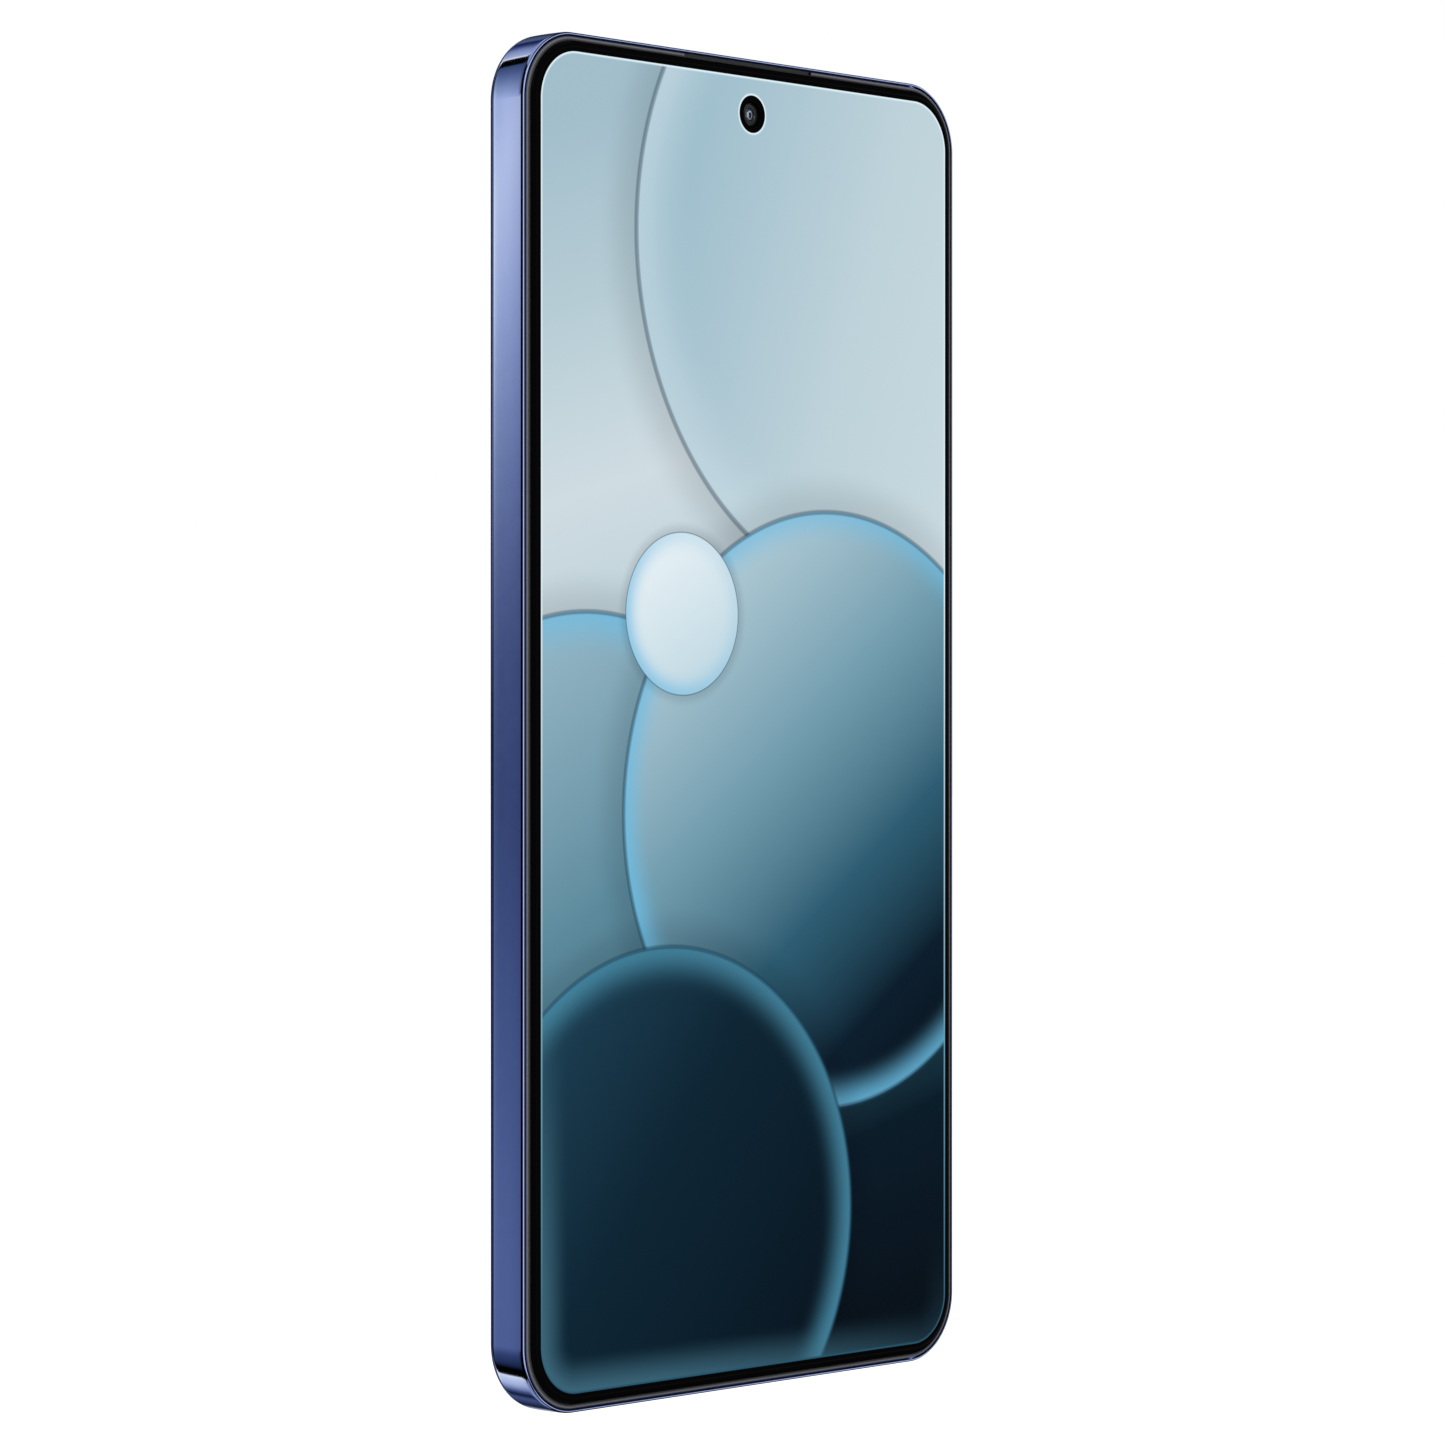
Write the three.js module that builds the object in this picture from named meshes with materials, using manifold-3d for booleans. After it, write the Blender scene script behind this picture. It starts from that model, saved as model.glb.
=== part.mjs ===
import * as THREE from 'three';
import { mergeVertices } from 'three/addons/utils/BufferGeometryUtils.js';
import Module from 'manifold-3d';

const wasm = await Module();
wasm.setup();

// Millimetres. X runs across the phone, Z up its height, and depth Y runs from the
// flat of the screen glass (0) to the back. The last lines centre the depth on Y = 0.

// Driving dimensions of the body.
const WIDTH = 75.8;
const HEIGHT = 159.0;
const DEPTH = 7.3;
const CORNER_RADIUS = 8.2;
const WALL = 2.2;
const CAMERA_BUMP = 1.7;

// Depths of the layers, front to back.
const GLASS_BACK = 0.6;
const PANEL = [0.68, 1.2];
const RING_BACK = 1.2;
const CHASSIS = [1.66, 2.16];
const FITTINGS_FRONT = 2.3;
const BOARD = [3.7, 4.5];
const SUB_BOARD = [5.05, 5.6];
const BRACKET = [5.75, 6.35];
const COVER_FRONT = 6.55;
const BATTERY = [2.3, 6.0];

// Height up the depth at which the edge fittings sit, and clearances.
const EDGE_Y = 3.4;
const KEY_Y = 3.05;
const CLEAR = 0.15;

// Edge fittings: centres along the edge, and sizes.
const POWER_KEY = { z: 97.5, length: 10.6, width: 2.0 };
const VOLUME_KEY = { z: 121.0, length: 22.0, width: 2.0 };
const KEY_PROUD = 0.25;
const USB = { width: 8.94, height: 3.16, wall: 0.3, depth: 9.0 };
const SIM = { x: -21.8, cap: 13.0, capHeight: 2.0, plate: 10.7, plateX: -22.35, length: 18.5 };
const EJECT_X = -16.3;
const SOUND_HOLES = { count: 6, pitch: 2.2, first: 13.4, radius: 0.65 };
const MIC_HOLE_RADIUS = 0.45;
const BOTTOM_MIC_X = -9.2;
const PORT_SECTION = { x: [-29.5, 6.8], seam: 0.3 };
const TOP_MIC_X = 14.0;

// Screen hole, earpiece slit, and the rear cameras with their island.
const FRONT_CAMERA = { x: 0, z: HEIGHT - 6.75, hole: 2.13, barrel: 1.75 };
const SLIT = { length: 22.4, inset: [0.42, 0.98] };
const ISLAND = { x: 24.6, z: 131.4, width: 16.4, height: 45.6, radius: 8.15, front: 6.6, back: 8.5 };
const LENS_PITCH = 14.6;
const LENS = { ring: 6.3, bore: 4.9, foot: 6.9, shelf: 8.2, chamfer: 0.3, cover: [8.25, 8.75] };
const CAMERAS = {
  main: { x: ISLAND.x, z: ISLAND.z + LENS_PITCH },
  wide: { x: ISLAND.x, z: ISLAND.z },
  tele: { x: ISLAND.x, z: ISLAND.z - LENS_PITCH },
};
const FLASH = { x: 10.6, z: ISLAND.z + LENS_PITCH / 2, radius: 2.4 };

// Antenna cable and charging coil.
const CABLE = { radius: 0.35, plug: 1.0, y: 5.2 };
const COIL = { x: 3, z: 68 };

// Cover screws, each into a post on the chassis plate.
const SCREWS = {
  screw_upper_left: [-33.9, 116.0],
  screw_upper_middle: [8.0, 110.9],
  screw_upper_right: [33.0, 153.0],
  screw_lower_left: [-34.0, 22.5],
  screw_lower_right: [34.0, 22.5],
};
const SCREW = { shank: 0.6, head: 1.2, hole: 0.75, counterbore: 1.4, post: 1.35 };

const HALF = WIDTH / 2;
const INNER = HALF - WALL;
const TOTAL_DEPTH = DEPTH + CAMERA_BUMP;
const CORNER_SEGMENTS = 8;
const BODY = { x: 0, z: HEIGHT / 2, width: WIDTH, height: HEIGHT, radius: CORNER_RADIUS };

const BLUE = [0x5a6690, 0.25, 0.9];
const BLACK_PLASTIC = [0x17181a, 0.55, 0];
const DARK_RUBBER = [0x101113, 0.8, 0];
const STEEL = [0xa9abb0, 0.35, 1];
const COPPER = [0xb06a38, 0.4, 0.8];
const AMBER_FLEX = [0xa8641e, 0.5, 0.1];
const BOARD_GREEN = [0x12362c, 0.5, 0];
const CHIP_BLACK = [0x1d1d20, 0.45, 0];
const GLASS_BLACK = [0x0b0d10, 0.08, 0];
const ALUMINIUM = [0x8d9197, 0.45, 0.9];
const LIT_PANEL = [0x9fb9c6, 0.3, 0];
const FROSTED_GLASS = [0x3c4668, 0.3, 0.2];
const LAMP_PLASTIC = [0xe8e2d0, 0.2, 0];
const SOFT_PAD = [0x8f98a6, 0.9, 0];
const CELL_WRAP = [0x2b2d31, 0.5, 0];
const SPEAKER_FILM = [0x55504a, 0.6, 0];
const TUNGSTEN = [0x6c6a66, 0.4, 0.9];

const phone = new THREE.Group();
phone.name = 'smartphone';

function add(name, geometry, [color, roughness, metalness]) {
  const material = new THREE.MeshStandardMaterial({ color, roughness, metalness });
  const mesh = new THREE.Mesh(geometry, material);
  mesh.name = name;
  phone.add(mesh);
}

// Bare, welded copy of a closed geometry, with its faces pointing out.
function welded(geometry) {
  const bare = geometry.clone();
  bare.deleteAttribute('normal');
  bare.deleteAttribute('uv');
  const merged = mergeVertices(bare, 1e-4);
  const position = merged.getAttribute('position');
  const corners = [0, 1, 2].map(() => new THREE.Vector3());
  const kept = [];
  let volume = 0;
  for (let i = 0; i < merged.index.count; i += 3) {
    const triangle = [0, 1, 2].map((k) => merged.index.getX(i + k));
    if (new Set(triangle).size < 3) continue;
    triangle.forEach((index, k) => corners[k].fromBufferAttribute(position, index));
    volume += corners[0].dot(corners[1].clone().cross(corners[2]));
    kept.push(triangle);
  }
  if (volume < 0) kept.forEach((triangle) => triangle.reverse());
  merged.setIndex(kept.flat());
  return merged;
}

function toSolid(geometry) {
  const merged = welded(geometry);
  return new wasm.Manifold(new wasm.Mesh({
    numProp: 3,
    vertProperties: new Float32Array(merged.getAttribute('position').array),
    triVerts: new Uint32Array(merged.index.array),
  }));
}

function toGeometry(solid) {
  const mesh = solid.getMesh();
  const geometry = new THREE.BufferGeometry();
  geometry.setAttribute('position', new THREE.BufferAttribute(mesh.vertProperties, 3));
  geometry.setIndex(new THREE.BufferAttribute(mesh.triVerts, 1));
  return geometry;
}

function cut(geometry, ...tools) {
  return toGeometry(tools.reduce((solid, tool) => solid.subtract(toSolid(tool)), toSolid(geometry)));
}

function join(...pieces) {
  const [first, ...rest] = pieces.map(toSolid);
  return toGeometry(rest.reduce((solid, piece) => solid.add(piece), first));
}

function common(geometry, tool) {
  return toGeometry(toSolid(geometry).intersect(toSolid(tool)));
}

function box([x0, x1], [y0, y1], [z0, z1]) {
  const geometry = new THREE.BoxGeometry(x1 - x0, y1 - y0, z1 - z0);
  return geometry.translate((x0 + x1) / 2, (y0 + y1) / 2, (z0 + z1) / 2);
}

function span(middle, size) {
  return [middle - size / 2, middle + size / 2];
}

// Round bar along the depth.
function disc(radius, [y0, y1], x, z, segments = 28) {
  const geometry = new THREE.CylinderGeometry(radius, radius, y1 - y0, segments);
  return geometry.translate(x, (y0 + y1) / 2, z);
}

// Round bar along the height.
function rod(radius, [z0, z1], x, y, segments = 16) {
  const geometry = new THREE.CylinderGeometry(radius, radius, z1 - z0, segments);
  return geometry.rotateX(Math.PI / 2).translate(x, y, (z0 + z1) / 2);
}

function capsule(length, width) {
  const shape = new THREE.Shape();
  const reach = (length - width) / 2;
  shape.absarc(reach, 0, width / 2, -Math.PI / 2, Math.PI / 2);
  shape.absarc(-reach, 0, width / 2, Math.PI / 2, Math.PI * 1.5);
  return shape;
}

// Round-ended bar along the height, its long side across the phone.
function capsuleUp(length, width, x, y, [z0, z1]) {
  const options = { depth: z1 - z0, bevelEnabled: false, curveSegments: 6 };
  return new THREE.ExtrudeGeometry(capsule(length, width), options).translate(x, y, z0);
}

// Round-ended bar across the phone, its long side along the height.
function capsuleAcross(length, width, [x0, x1], y, z) {
  const options = { depth: x1 - x0, bevelEnabled: false, curveSegments: 6 };
  const geometry = new THREE.ExtrudeGeometry(capsule(length, width), options);
  return geometry.rotateY(Math.PI / 2).translate(x0, y, z);
}

// Flat piece with an outline of [x, z] points, between two depths.
function slab(points, [y0, y1]) {
  const shape = new THREE.Shape(points.map(([x, z]) => new THREE.Vector2(x, z)));
  const geometry = new THREE.ExtrudeGeometry(shape, { depth: y1 - y0, bevelEnabled: false });
  return geometry.rotateX(Math.PI / 2).translate(0, y1, 0);
}

// Folded strip with a section of [y, z] points, between two places across the phone.
function strip(section, [x0, x1]) {
  const shape = new THREE.Shape(section.map(([y, z]) => new THREE.Vector2(-z, y)));
  const geometry = new THREE.ExtrudeGeometry(shape, { depth: x1 - x0, bevelEnabled: false });
  return geometry.rotateY(Math.PI / 2).translate(x0, 0, 0);
}

// Points of a round-cornered rectangle drawn in by an inset, anticlockwise from the front.
function outline({ x, z, width, height, radius }, inset) {
  const arc = Math.max(radius - inset, 0.4);
  const reachX = width / 2 - inset - arc;
  const reachZ = height / 2 - inset - arc;
  const points = [];
  for (let corner = 0; corner < 4; corner += 1) {
    const signX = corner === 0 || corner === 3 ? 1 : -1;
    const signZ = corner < 2 ? 1 : -1;
    for (let step = 0; step <= CORNER_SEGMENTS; step += 1) {
      const angle = (corner + step / CORNER_SEGMENTS) * Math.PI / 2;
      const px = x + signX * reachX + arc * Math.cos(angle);
      const pz = z + signZ * reachZ + arc * Math.sin(angle);
      points.push([px, pz]);
    }
  }
  return points;
}

// Skin through round-cornered outlines, one for each [inset, y] of the profile. A ring's
// profile closes on itself; a plate's runs front to back and is capped at both ends.
function loft(form, profile, ring) {
  const loops = profile.map(([inset, y]) => outline(form, inset).map(([x, z]) => [x, y, z]));
  const count = loops[0].length;
  const faces = [];
  const last = ring ? loops.length : loops.length - 1;
  for (let i = 0; i < last; i += 1) {
    const next = (i + 1) % loops.length;
    for (let j = 0; j < count; j += 1) {
      const k = (j + 1) % count;
      const [a, b, c, d] = [i * count + j, i * count + k, next * count + k, next * count + j];
      faces.push(a, d, c, a, c, b);
    }
  }
  for (let j = 1; j < count - 1 && !ring; j += 1) {
    const back = (loops.length - 1) * count;
    faces.push(0, j, j + 1, back, back + j + 1, back + j);
  }
  const geometry = new THREE.BufferGeometry();
  geometry.setAttribute('position', new THREE.Float32BufferAttribute(loops.flat(2), 3));
  geometry.setIndex(faces);
  return geometry;
}

// Turned piece about an axis along the depth: a closed profile of [radius, y] points.
function turned(profile, x, z, segments = 32) {
  const points = [...profile, profile[0]].map(([r, y]) => new THREE.Vector2(r, y));
  return welded(new THREE.LatheGeometry(points, segments)).translate(x, 0, z);
}

// ---- Body shell -------------------------------------------------------------------

function wholeFrame() {
  const profile = [
    [0.45, 0.68], [0.16, 0.72], [0.04, 0.78], [0, 0.92], [0, 5.2], [0.12, 5.72], [0.42, 6.2],
    [0.8, 6.54], [1.15, 6.74], [1.2, 6.4], [WALL, 6.4], [WALL, 1.25], [0.45, 1.25],
  ];
  const through = [-1, WALL + 0.3];
  const soundHoles = Array.from({ length: SOUND_HOLES.count }, (_, i) => (
    rod(SOUND_HOLES.radius, through, SOUND_HOLES.first + i * SOUND_HOLES.pitch, EDGE_Y, 12)
  ));
  const keyWindows = [POWER_KEY, VOLUME_KEY].map(({ z, length, width }) => (
    capsuleAcross(length + 2 * CLEAR, width + 2 * CLEAR, [INNER - 0.3, HALF + 1], KEY_Y, z)
  ));
  const soundDuct = box(span(0, SLIT.length - 2), [1.1, 2.4], [HEIGHT - WALL - 0.5, HEIGHT - 0.6]);
  return cut(
    loft(BODY, profile, true),
    capsuleUp(USB.width + 2 * CLEAR, USB.height + 2 * CLEAR, 0, EDGE_Y, through),
    capsuleUp(SIM.cap + 2 * CLEAR, SIM.capHeight + 2 * CLEAR, SIM.x, EDGE_Y, through),
    rod(MIC_HOLE_RADIUS, through, BOTTOM_MIC_X, EDGE_Y, 12),
    rod(MIC_HOLE_RADIUS, [HEIGHT - WALL - 0.3, HEIGHT + 1], TOP_MIC_X, EDGE_Y, 12),
    soundDuct,
    ...soundHoles,
    ...keyWindows,
  );
}

// The length of the frame's bottom bar that holds the port, the tray and the microphone.
function portSection() {
  return common(wholeFrame(), box(PORT_SECTION.x, [0, DEPTH], [-1, WALL + 1]));
}

function sideFrame() {
  const [x0, x1] = PORT_SECTION.x;
  const { seam } = PORT_SECTION;
  return cut(wholeFrame(), box([x0 - seam, x1 + seam], [0, DEPTH], [-1, WALL + 1]));
}

function bezelRing() {
  const profile = [
    [0.5, 0.72], [0.62, 0.66], [1.08, 0.46], [1.08, 0.74], [1.95, 0.74], [1.95, RING_BACK],
    [0.5, RING_BACK],
  ];
  const [outer, inner] = SLIT.inset;
  const slit = box(span(0, SLIT.length), [0, 2], [HEIGHT - inner, HEIGHT - outer]);
  return cut(loft(BODY, profile, true), slit);
}

function coverGlass() {
  const profile = [
    [2.3, 0], [1.95, 0.03], [1.6, 0.11], [1.3, 0.24], [1.13, 0.39], [1.13, GLASS_BACK],
  ];
  return loft(BODY, profile, false);
}

function displayPanel() {
  const { x, z, hole } = FRONT_CAMERA;
  return cut(loft(BODY, PANEL.map((y) => [2.05, y]), false), disc(hole, [0, 2], x, z));
}

function chassisPlate() {
  const plate = loft(BODY, CHASSIS.map((y) => [WALL + 0.1, y]), false);
  const places = Object.values(SCREWS);
  const posts = places.map(([x, z]) => disc(SCREW.post, [2.0, 5.7], x, z, 16));
  const screwHoles = places.map(([x, z]) => disc(SCREW.hole, [3.0, 6], x, z, 12));
  const through = [1, 2.5];
  const usbNotch = box([-6.2, 6.2], through, [0, 11.5]);
  const cameraNotch = box([-4.6, 4.6], through, [147.4, HEIGHT]);
  const keyNotch = box([33.9, HALF], through, [90.6, 133.6]);
  const flexSlot = box([-13.4, -2.6], through, [26.0, 27.6]);
  return cut(join(plate, ...posts), usbNotch, cameraNotch, keyNotch, flexSlot, ...screwHoles);
}

function rearCover() {
  const profile = [[1.25, COVER_FRONT], [1.25, 6.8], [1.9, 7.03], [2.8, 7.2], [4.2, DEPTH]];
  const window = loft(ISLAND, [[-0.1, 6], [-0.1, 8]], false);
  const flashHole = disc(FLASH.radius, [6, 8], FLASH.x, FLASH.z, 20);
  return cut(loft(BODY, profile, false), window, flashHole);
}

function cameraIsland() {
  const { front, back } = ISLAND;
  const profile = [[0, front], [0, back - 0.35], [0.12, back - 0.1], [0.4, back]];
  const through = [front - 1, back + 1];
  const bores = Object.values(CAMERAS).map(({ x, z }) => disc(LENS.ring + 0.1, through, x, z, 32));
  return cut(loft(ISLAND, profile, false), ...bores);
}

// Flat strip of adhesive that runs round the body, between two insets.
function adhesiveStrip([outer, inner], [front, back]) {
  return loft(BODY, [[outer, front], [outer, back], [inner, back], [inner, front]], true);
}

add('side_frame', sideFrame(), BLUE);
add('frame_port_section', portSection(), BLUE);
add('chassis_plate', chassisPlate(), ALUMINIUM);
add('bezel_ring', bezelRing(), BLACK_PLASTIC);
add('cover_glass', coverGlass(), GLASS_BLACK);
add('display_gasket', adhesiveStrip([1.2, 1.9], [0.63, 0.71]), DARK_RUBBER);
add('display_panel', displayPanel(), LIT_PANEL);
add('rear_cover', rearCover(), FROSTED_GLASS);
add('rear_cover_adhesive', adhesiveStrip([1.4, 2.1], [6.43, 6.52]), DARK_RUBBER);
add('camera_island', cameraIsland(), BLUE);

// ---- Rear cameras and flash -------------------------------------------------------

function lensRing({ x, z }) {
  const { ring, bore, foot, shelf, chamfer } = LENS;
  const top = TOTAL_DEPTH;
  const lip = bore - 0.5;
  const profile = [
    [lip, foot], [ring, foot], [ring, top - chamfer], [ring - chamfer, top],
    [bore + chamfer, top], [bore, top - chamfer], [bore, shelf], [lip, shelf],
  ];
  return turned(profile, x, z);
}

for (const [name, camera] of Object.entries(CAMERAS)) {
  add(`lens_ring_${name}`, lensRing(camera), STEEL);
  const cover = disc(LENS.bore - 0.1, LENS.cover, camera.x, camera.z, 32);
  add(`lens_cover_${name}`, cover, GLASS_BLACK);
}
add('flash_lens', disc(FLASH.radius - 0.1, [6.62, 7.36], FLASH.x, FLASH.z, 20), LAMP_PLASTIC);

function cameraModule({ x, z }, size, barrelRadius, barrelBack) {
  const body = box(span(x, size), [FITTINGS_FRONT, 6.4], span(z, size));
  return join(body, disc(barrelRadius, [6.2, barrelBack], x, z, 24));
}

function focusHousing({ x, z }) {
  const body = box(span(x, 12), [FITTINGS_FRONT, 6.5], span(z, 12));
  return cut(body, disc(4.45, [2.9, 7], x, z, 28));
}

function frontCamera() {
  const { x, z, barrel } = FRONT_CAMERA;
  const module = box(span(x, 7.2), [FITTINGS_FRONT, 5.2], [148.6, 155.8]);
  return join(module, disc(barrel, [0.75, 2.5], x, z, 24));
}

add('front_camera', frontCamera(), CHIP_BLACK);
add('main_camera', focusHousing(CAMERAS.main), STEEL);
add('main_camera_barrel', disc(4.2, [3.1, 7.7], CAMERAS.main.x, CAMERAS.main.z), CHIP_BLACK);
add('wide_camera', cameraModule(CAMERAS.wide, 10, 3.6, 7.7), CHIP_BLACK);
add('tele_camera', cameraModule(CAMERAS.tele, 9, 3.2, 7.6), CHIP_BLACK);

// ---- Boards, battery and cables ---------------------------------------------------

function bracket([z0, z1], radiusInset, cutters) {
  const inset = WALL + radiusInset;
  const plate = loft(BODY, BRACKET.map((y) => [inset, y]), false);
  const below = box([-HALF, HALF], [5, 7], [-1, z0]);
  const above = box([-HALF, HALF], [5, 7], [z1, HEIGHT + 1]);
  const holes = Object.values(SCREWS).flatMap(([x, z]) => (
    [disc(SCREW.hole, [5, 7], x, z, 12), disc(SCREW.counterbore, [5.98, 7], x, z, 16)]
  ));
  return cut(plate, below, above, ...holes, ...cutters);
}

const cameraWindow = box([16.0, 33.0], [5, 7], [110.8, 152.6]);
const flexGap = box([-31.6, -25.4], [5, 7], [24.0, 114.2]);
add('upper_bracket', bracket([109.2, HEIGHT], 0.15, [cameraWindow, flexGap]), BLACK_PLASTIC);
add('lower_bracket', bracket([0, 26.2], 0.15, [flexGap]), BLACK_PLASTIC);

const BOARD_OUTLINE = [
  [-32, 113], [16.5, 113], [16.5, 146], [-23.5, 146], [-23.5, 154.3], [-28.5, 154.3], [-32, 151],
];
add('main_board', slab(BOARD_OUTLINE, BOARD), BOARD_GREEN);

const shieldShell = box([-31, 15.5], [4.55, 5.6], [118.5, 145]);
const shieldHollow = box([-30.8, 15.3], [4, 5.4], [118.7, 144.8]);
add('board_shield', cut(shieldShell, shieldHollow), STEEL);
add('processor_chip', box(span(-14, 14), [2.6, 3.6], span(131, 14)), CHIP_BLACK);
add('thermal_pad', box(span(-14, 15), [2.2, 2.56], span(131, 15)), SOFT_PAD);
add('battery', box([-32, 31], BATTERY, [28, 108.5]), CELL_WRAP);

function batteryFlex() {
  const section = [
    [4.78, 108.7], [4.93, 108.7], [4.93, 116.6], [4.58, 116.6], [4.58, 113.6], [4.78, 113.6],
  ];
  return strip(section, [-18, -10]);
}

function mainFlex() {
  const section = [
    [4.58, 117.2], [4.58, 113.4], [6.08, 110.4], [6.08, 26.8], [5.66, 24.6], [5.66, 18.0],
    [5.72, 18.0], [5.72, 24.5], [6.2, 26.9], [6.2, 110.5], [4.8, 113.5], [4.8, 117.2],
  ];
  return cut(strip(section, [-31, -26]), box([-32, -25], [4, 6.9], [115.8, 118]));
}

function displayFlex() {
  const section = [
    [1.72, 26.7], [5.62, 26.7], [5.62, 20.5], [5.7, 20.5], [5.7, 26.85], [1.72, 26.85],
  ];
  return strip(section, [-13, -3]);
}

// Thin coaxial cable from the lower board to the upper one, round the battery's right side.
function antennaCable() {
  const route = [
    [10.0, 22.0], [10.2, 26.5], [20, 26.5], [30.8, 26.5], [32.3, 28.6], [32.3, 68], [32.3, 108],
    [30.4, 110.8], [18.2, 111.2], [18.2, 114.5],
  ].map(([x, z]) => new THREE.Vector3(x, CABLE.y, z));
  const path = new THREE.CatmullRomCurve3(route, false, 'catmullrom', 0.15);
  const circle = new THREE.Path().absarc(0, 0, CABLE.radius, 0, Math.PI * 2).getPoints(4);
  const section = new THREE.Shape(circle.slice(0, -1));
  const settings = { steps: 60, extrudePath: path, bevelEnabled: false };
  const wire = new THREE.ExtrudeGeometry(section, settings);
  const ends = [route[0], route[route.length - 1]];
  return join(wire, ...ends.map(({ x, z }) => disc(CABLE.plug, [4.8, 5.6], x, z, 16)));
}

add('battery_flex', batteryFlex(), AMBER_FLEX);
add('main_flex', mainFlex(), AMBER_FLEX);
add('display_flex', displayFlex(), AMBER_FLEX);
add('antenna_cable', antennaCable(), DARK_RUBBER);
const coilProfile = [[9, 6.26], [21.5, 6.26], [21.5, 6.46], [9, 6.46]];
add('charging_coil', turned(coilProfile, COIL.x, COIL.z, 48), COPPER);
add('sub_board', box([-32.4, 8.4], SUB_BOARD, [5, 24.5]), BOARD_GREEN);

// ---- Bottom edge: port, tray, microphone, loudspeaker, haptic motor ---------------

function usbReceptacle() {
  const { width, height, wall, depth } = USB;
  const shell = capsuleUp(width, height, 0, EDGE_Y, [0.4, depth]);
  const mouth = capsuleUp(width - 2 * wall, height - 2 * wall, 0, EDGE_Y, [-1, depth - 1.2]);
  return cut(shell, mouth);
}

function simTray() {
  const { x, cap, capHeight, plate, plateX, length } = SIM;
  const head = capsuleUp(cap, capHeight, x, EDGE_Y, [0.05, 1.25]);
  const tongue = box(span(plateX, plate), span(EDGE_Y, 0.9), [1.0, length]);
  const cardWindow = box(span(plateX, 8.9), [0, 7], [4.6, 17.0]);
  const ejectHole = rod(0.42, [-1, 2], EJECT_X, EDGE_Y, 12);
  return cut(join(head, tongue), cardWindow, ejectHole);
}

function simTrayGasket() {
  const outer = box(span(SIM.plateX, SIM.plate + 0.5), span(EDGE_Y, 1.8), [1.35, 1.9]);
  const inner = box(span(SIM.plateX, SIM.plate + 0.06), span(EDGE_Y, 0.96), [1, 2.5]);
  return cut(outer, inner);
}

function simReader() {
  const shell = box([-28.9, -15.2], [2.25, 4.6], [3.0, 20.6]);
  return cut(shell, box([-28.7, -15.4], [2.45, 4.4], [2, 20.2]));
}

function speakerBox() {
  const shell = box([11.8, 31.4], [FITTINGS_FRONT, 5.65], [2.7, 25.2]);
  const mouth = box([12.5, 25.4], [2.8, 4.4], [2, 6]);
  const chamber = box([12.5, 30.7], [2.8, 5.05], [5.2, 24.5]);
  return cut(shell, mouth, chamber);
}

function hapticHousing() {
  const shell = box([-11.4, 7.0], [FITTINGS_FRONT, 4.95], [12.4, 22.6]);
  return cut(shell, box([-11.1, 6.7], [2, 4.65], [12.7, 22.3]));
}

add('usb_receptacle', usbReceptacle(), STEEL);
add('usb_tongue', box([-3.35, 3.35], span(EDGE_Y, 0.7), [1.3, 7.7]), CHIP_BLACK);
add('sim_tray', simTray(), BLUE);
add('sim_tray_gasket', simTrayGasket(), DARK_RUBBER);
add('sim_reader', simReader(), STEEL);
add('sim_ejector', rod(0.45, [2.6, 19.8], EJECT_X + 0.15, EDGE_Y, 12), STEEL);
add('bottom_microphone', box(span(BOTTOM_MIC_X, 3.2), [3.9, 5.0], [2.6, 5.6]), STEEL);
add('speaker_box', speakerBox(), BLACK_PLASTIC);
add('speaker_motor', box([15.5, 29.5], [4.15, 4.98], [9, 22]), STEEL);
add('speaker_diaphragm', box([14, 30.2], [3.3, 3.6], [7.5, 23.5]), SPEAKER_FILM);
add('speaker_mesh', box([12.4, 25.6], span(EDGE_Y, 1.8), [2.3, 2.5]), DARK_RUBBER);
add('haptic_housing', hapticHousing(), STEEL);
add('haptic_mass', box([-8.7, 4.3], [2.75, 4.4], [13.2, 21.8]), TUNGSTEN);

// ---- Top edge: earpiece and microphone --------------------------------------------

const earpieceShell = box([-21.5, -7.5], [FITTINGS_FRONT, 5.2], [147.3, 154.6]);
const earpieceHollow = box([-21.0, -8.0], [2, 3.6], [147.8, 154.1]);
add('earpiece_body', cut(earpieceShell, earpieceHollow), STEEL);
add('earpiece_diaphragm', box([-20.6, -8.4], [2.75, 2.95], [148.2, 153.7]), SPEAKER_FILM);
const slitDepths = [HEIGHT - SLIT.inset[1] + 0.04, HEIGHT - SLIT.inset[0] - 0.08];
add('earpiece_mesh', box(span(0, SLIT.length - 0.1), [0.95, 1.15], slitDepths), DARK_RUBBER);
add('top_microphone', box(span(TOP_MIC_X, 3.2), [3.9, 5.0], [153.2, 156.4]), STEEL);

// ---- Side keys --------------------------------------------------------------------

function sideKey({ z, length, width }) {
  const button = capsuleAcross(length, width, [INNER - 0.6, HALF + KEY_PROUD], KEY_Y, z);
  const flange = box([INNER - 0.9, INNER - 0.4], span(KEY_Y, width + 0.8), span(z, length + 1.6));
  return join(button, flange);
}

function sideKeyFlex() {
  const backing = box([33.2, 33.7], [FITTINGS_FRONT, 4.4], [89, 134]);
  const presses = [POWER_KEY.z, VOLUME_KEY.z - 7.5, VOLUME_KEY.z + 7.5];
  const dome = new THREE.CylinderGeometry(0.7, 0.9, 0.7, 16).rotateZ(-Math.PI / 2);
  const domes = presses.map((z) => dome.clone().translate(33.95, KEY_Y + 0.2, z));
  return join(backing, ...domes);
}

add('power_key', sideKey(POWER_KEY), BLUE);
add('volume_rocker', sideKey(VOLUME_KEY), BLUE);
add('side_key_flex', sideKeyFlex(), AMBER_FLEX);

// ---- Cover screws -----------------------------------------------------------------

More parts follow.
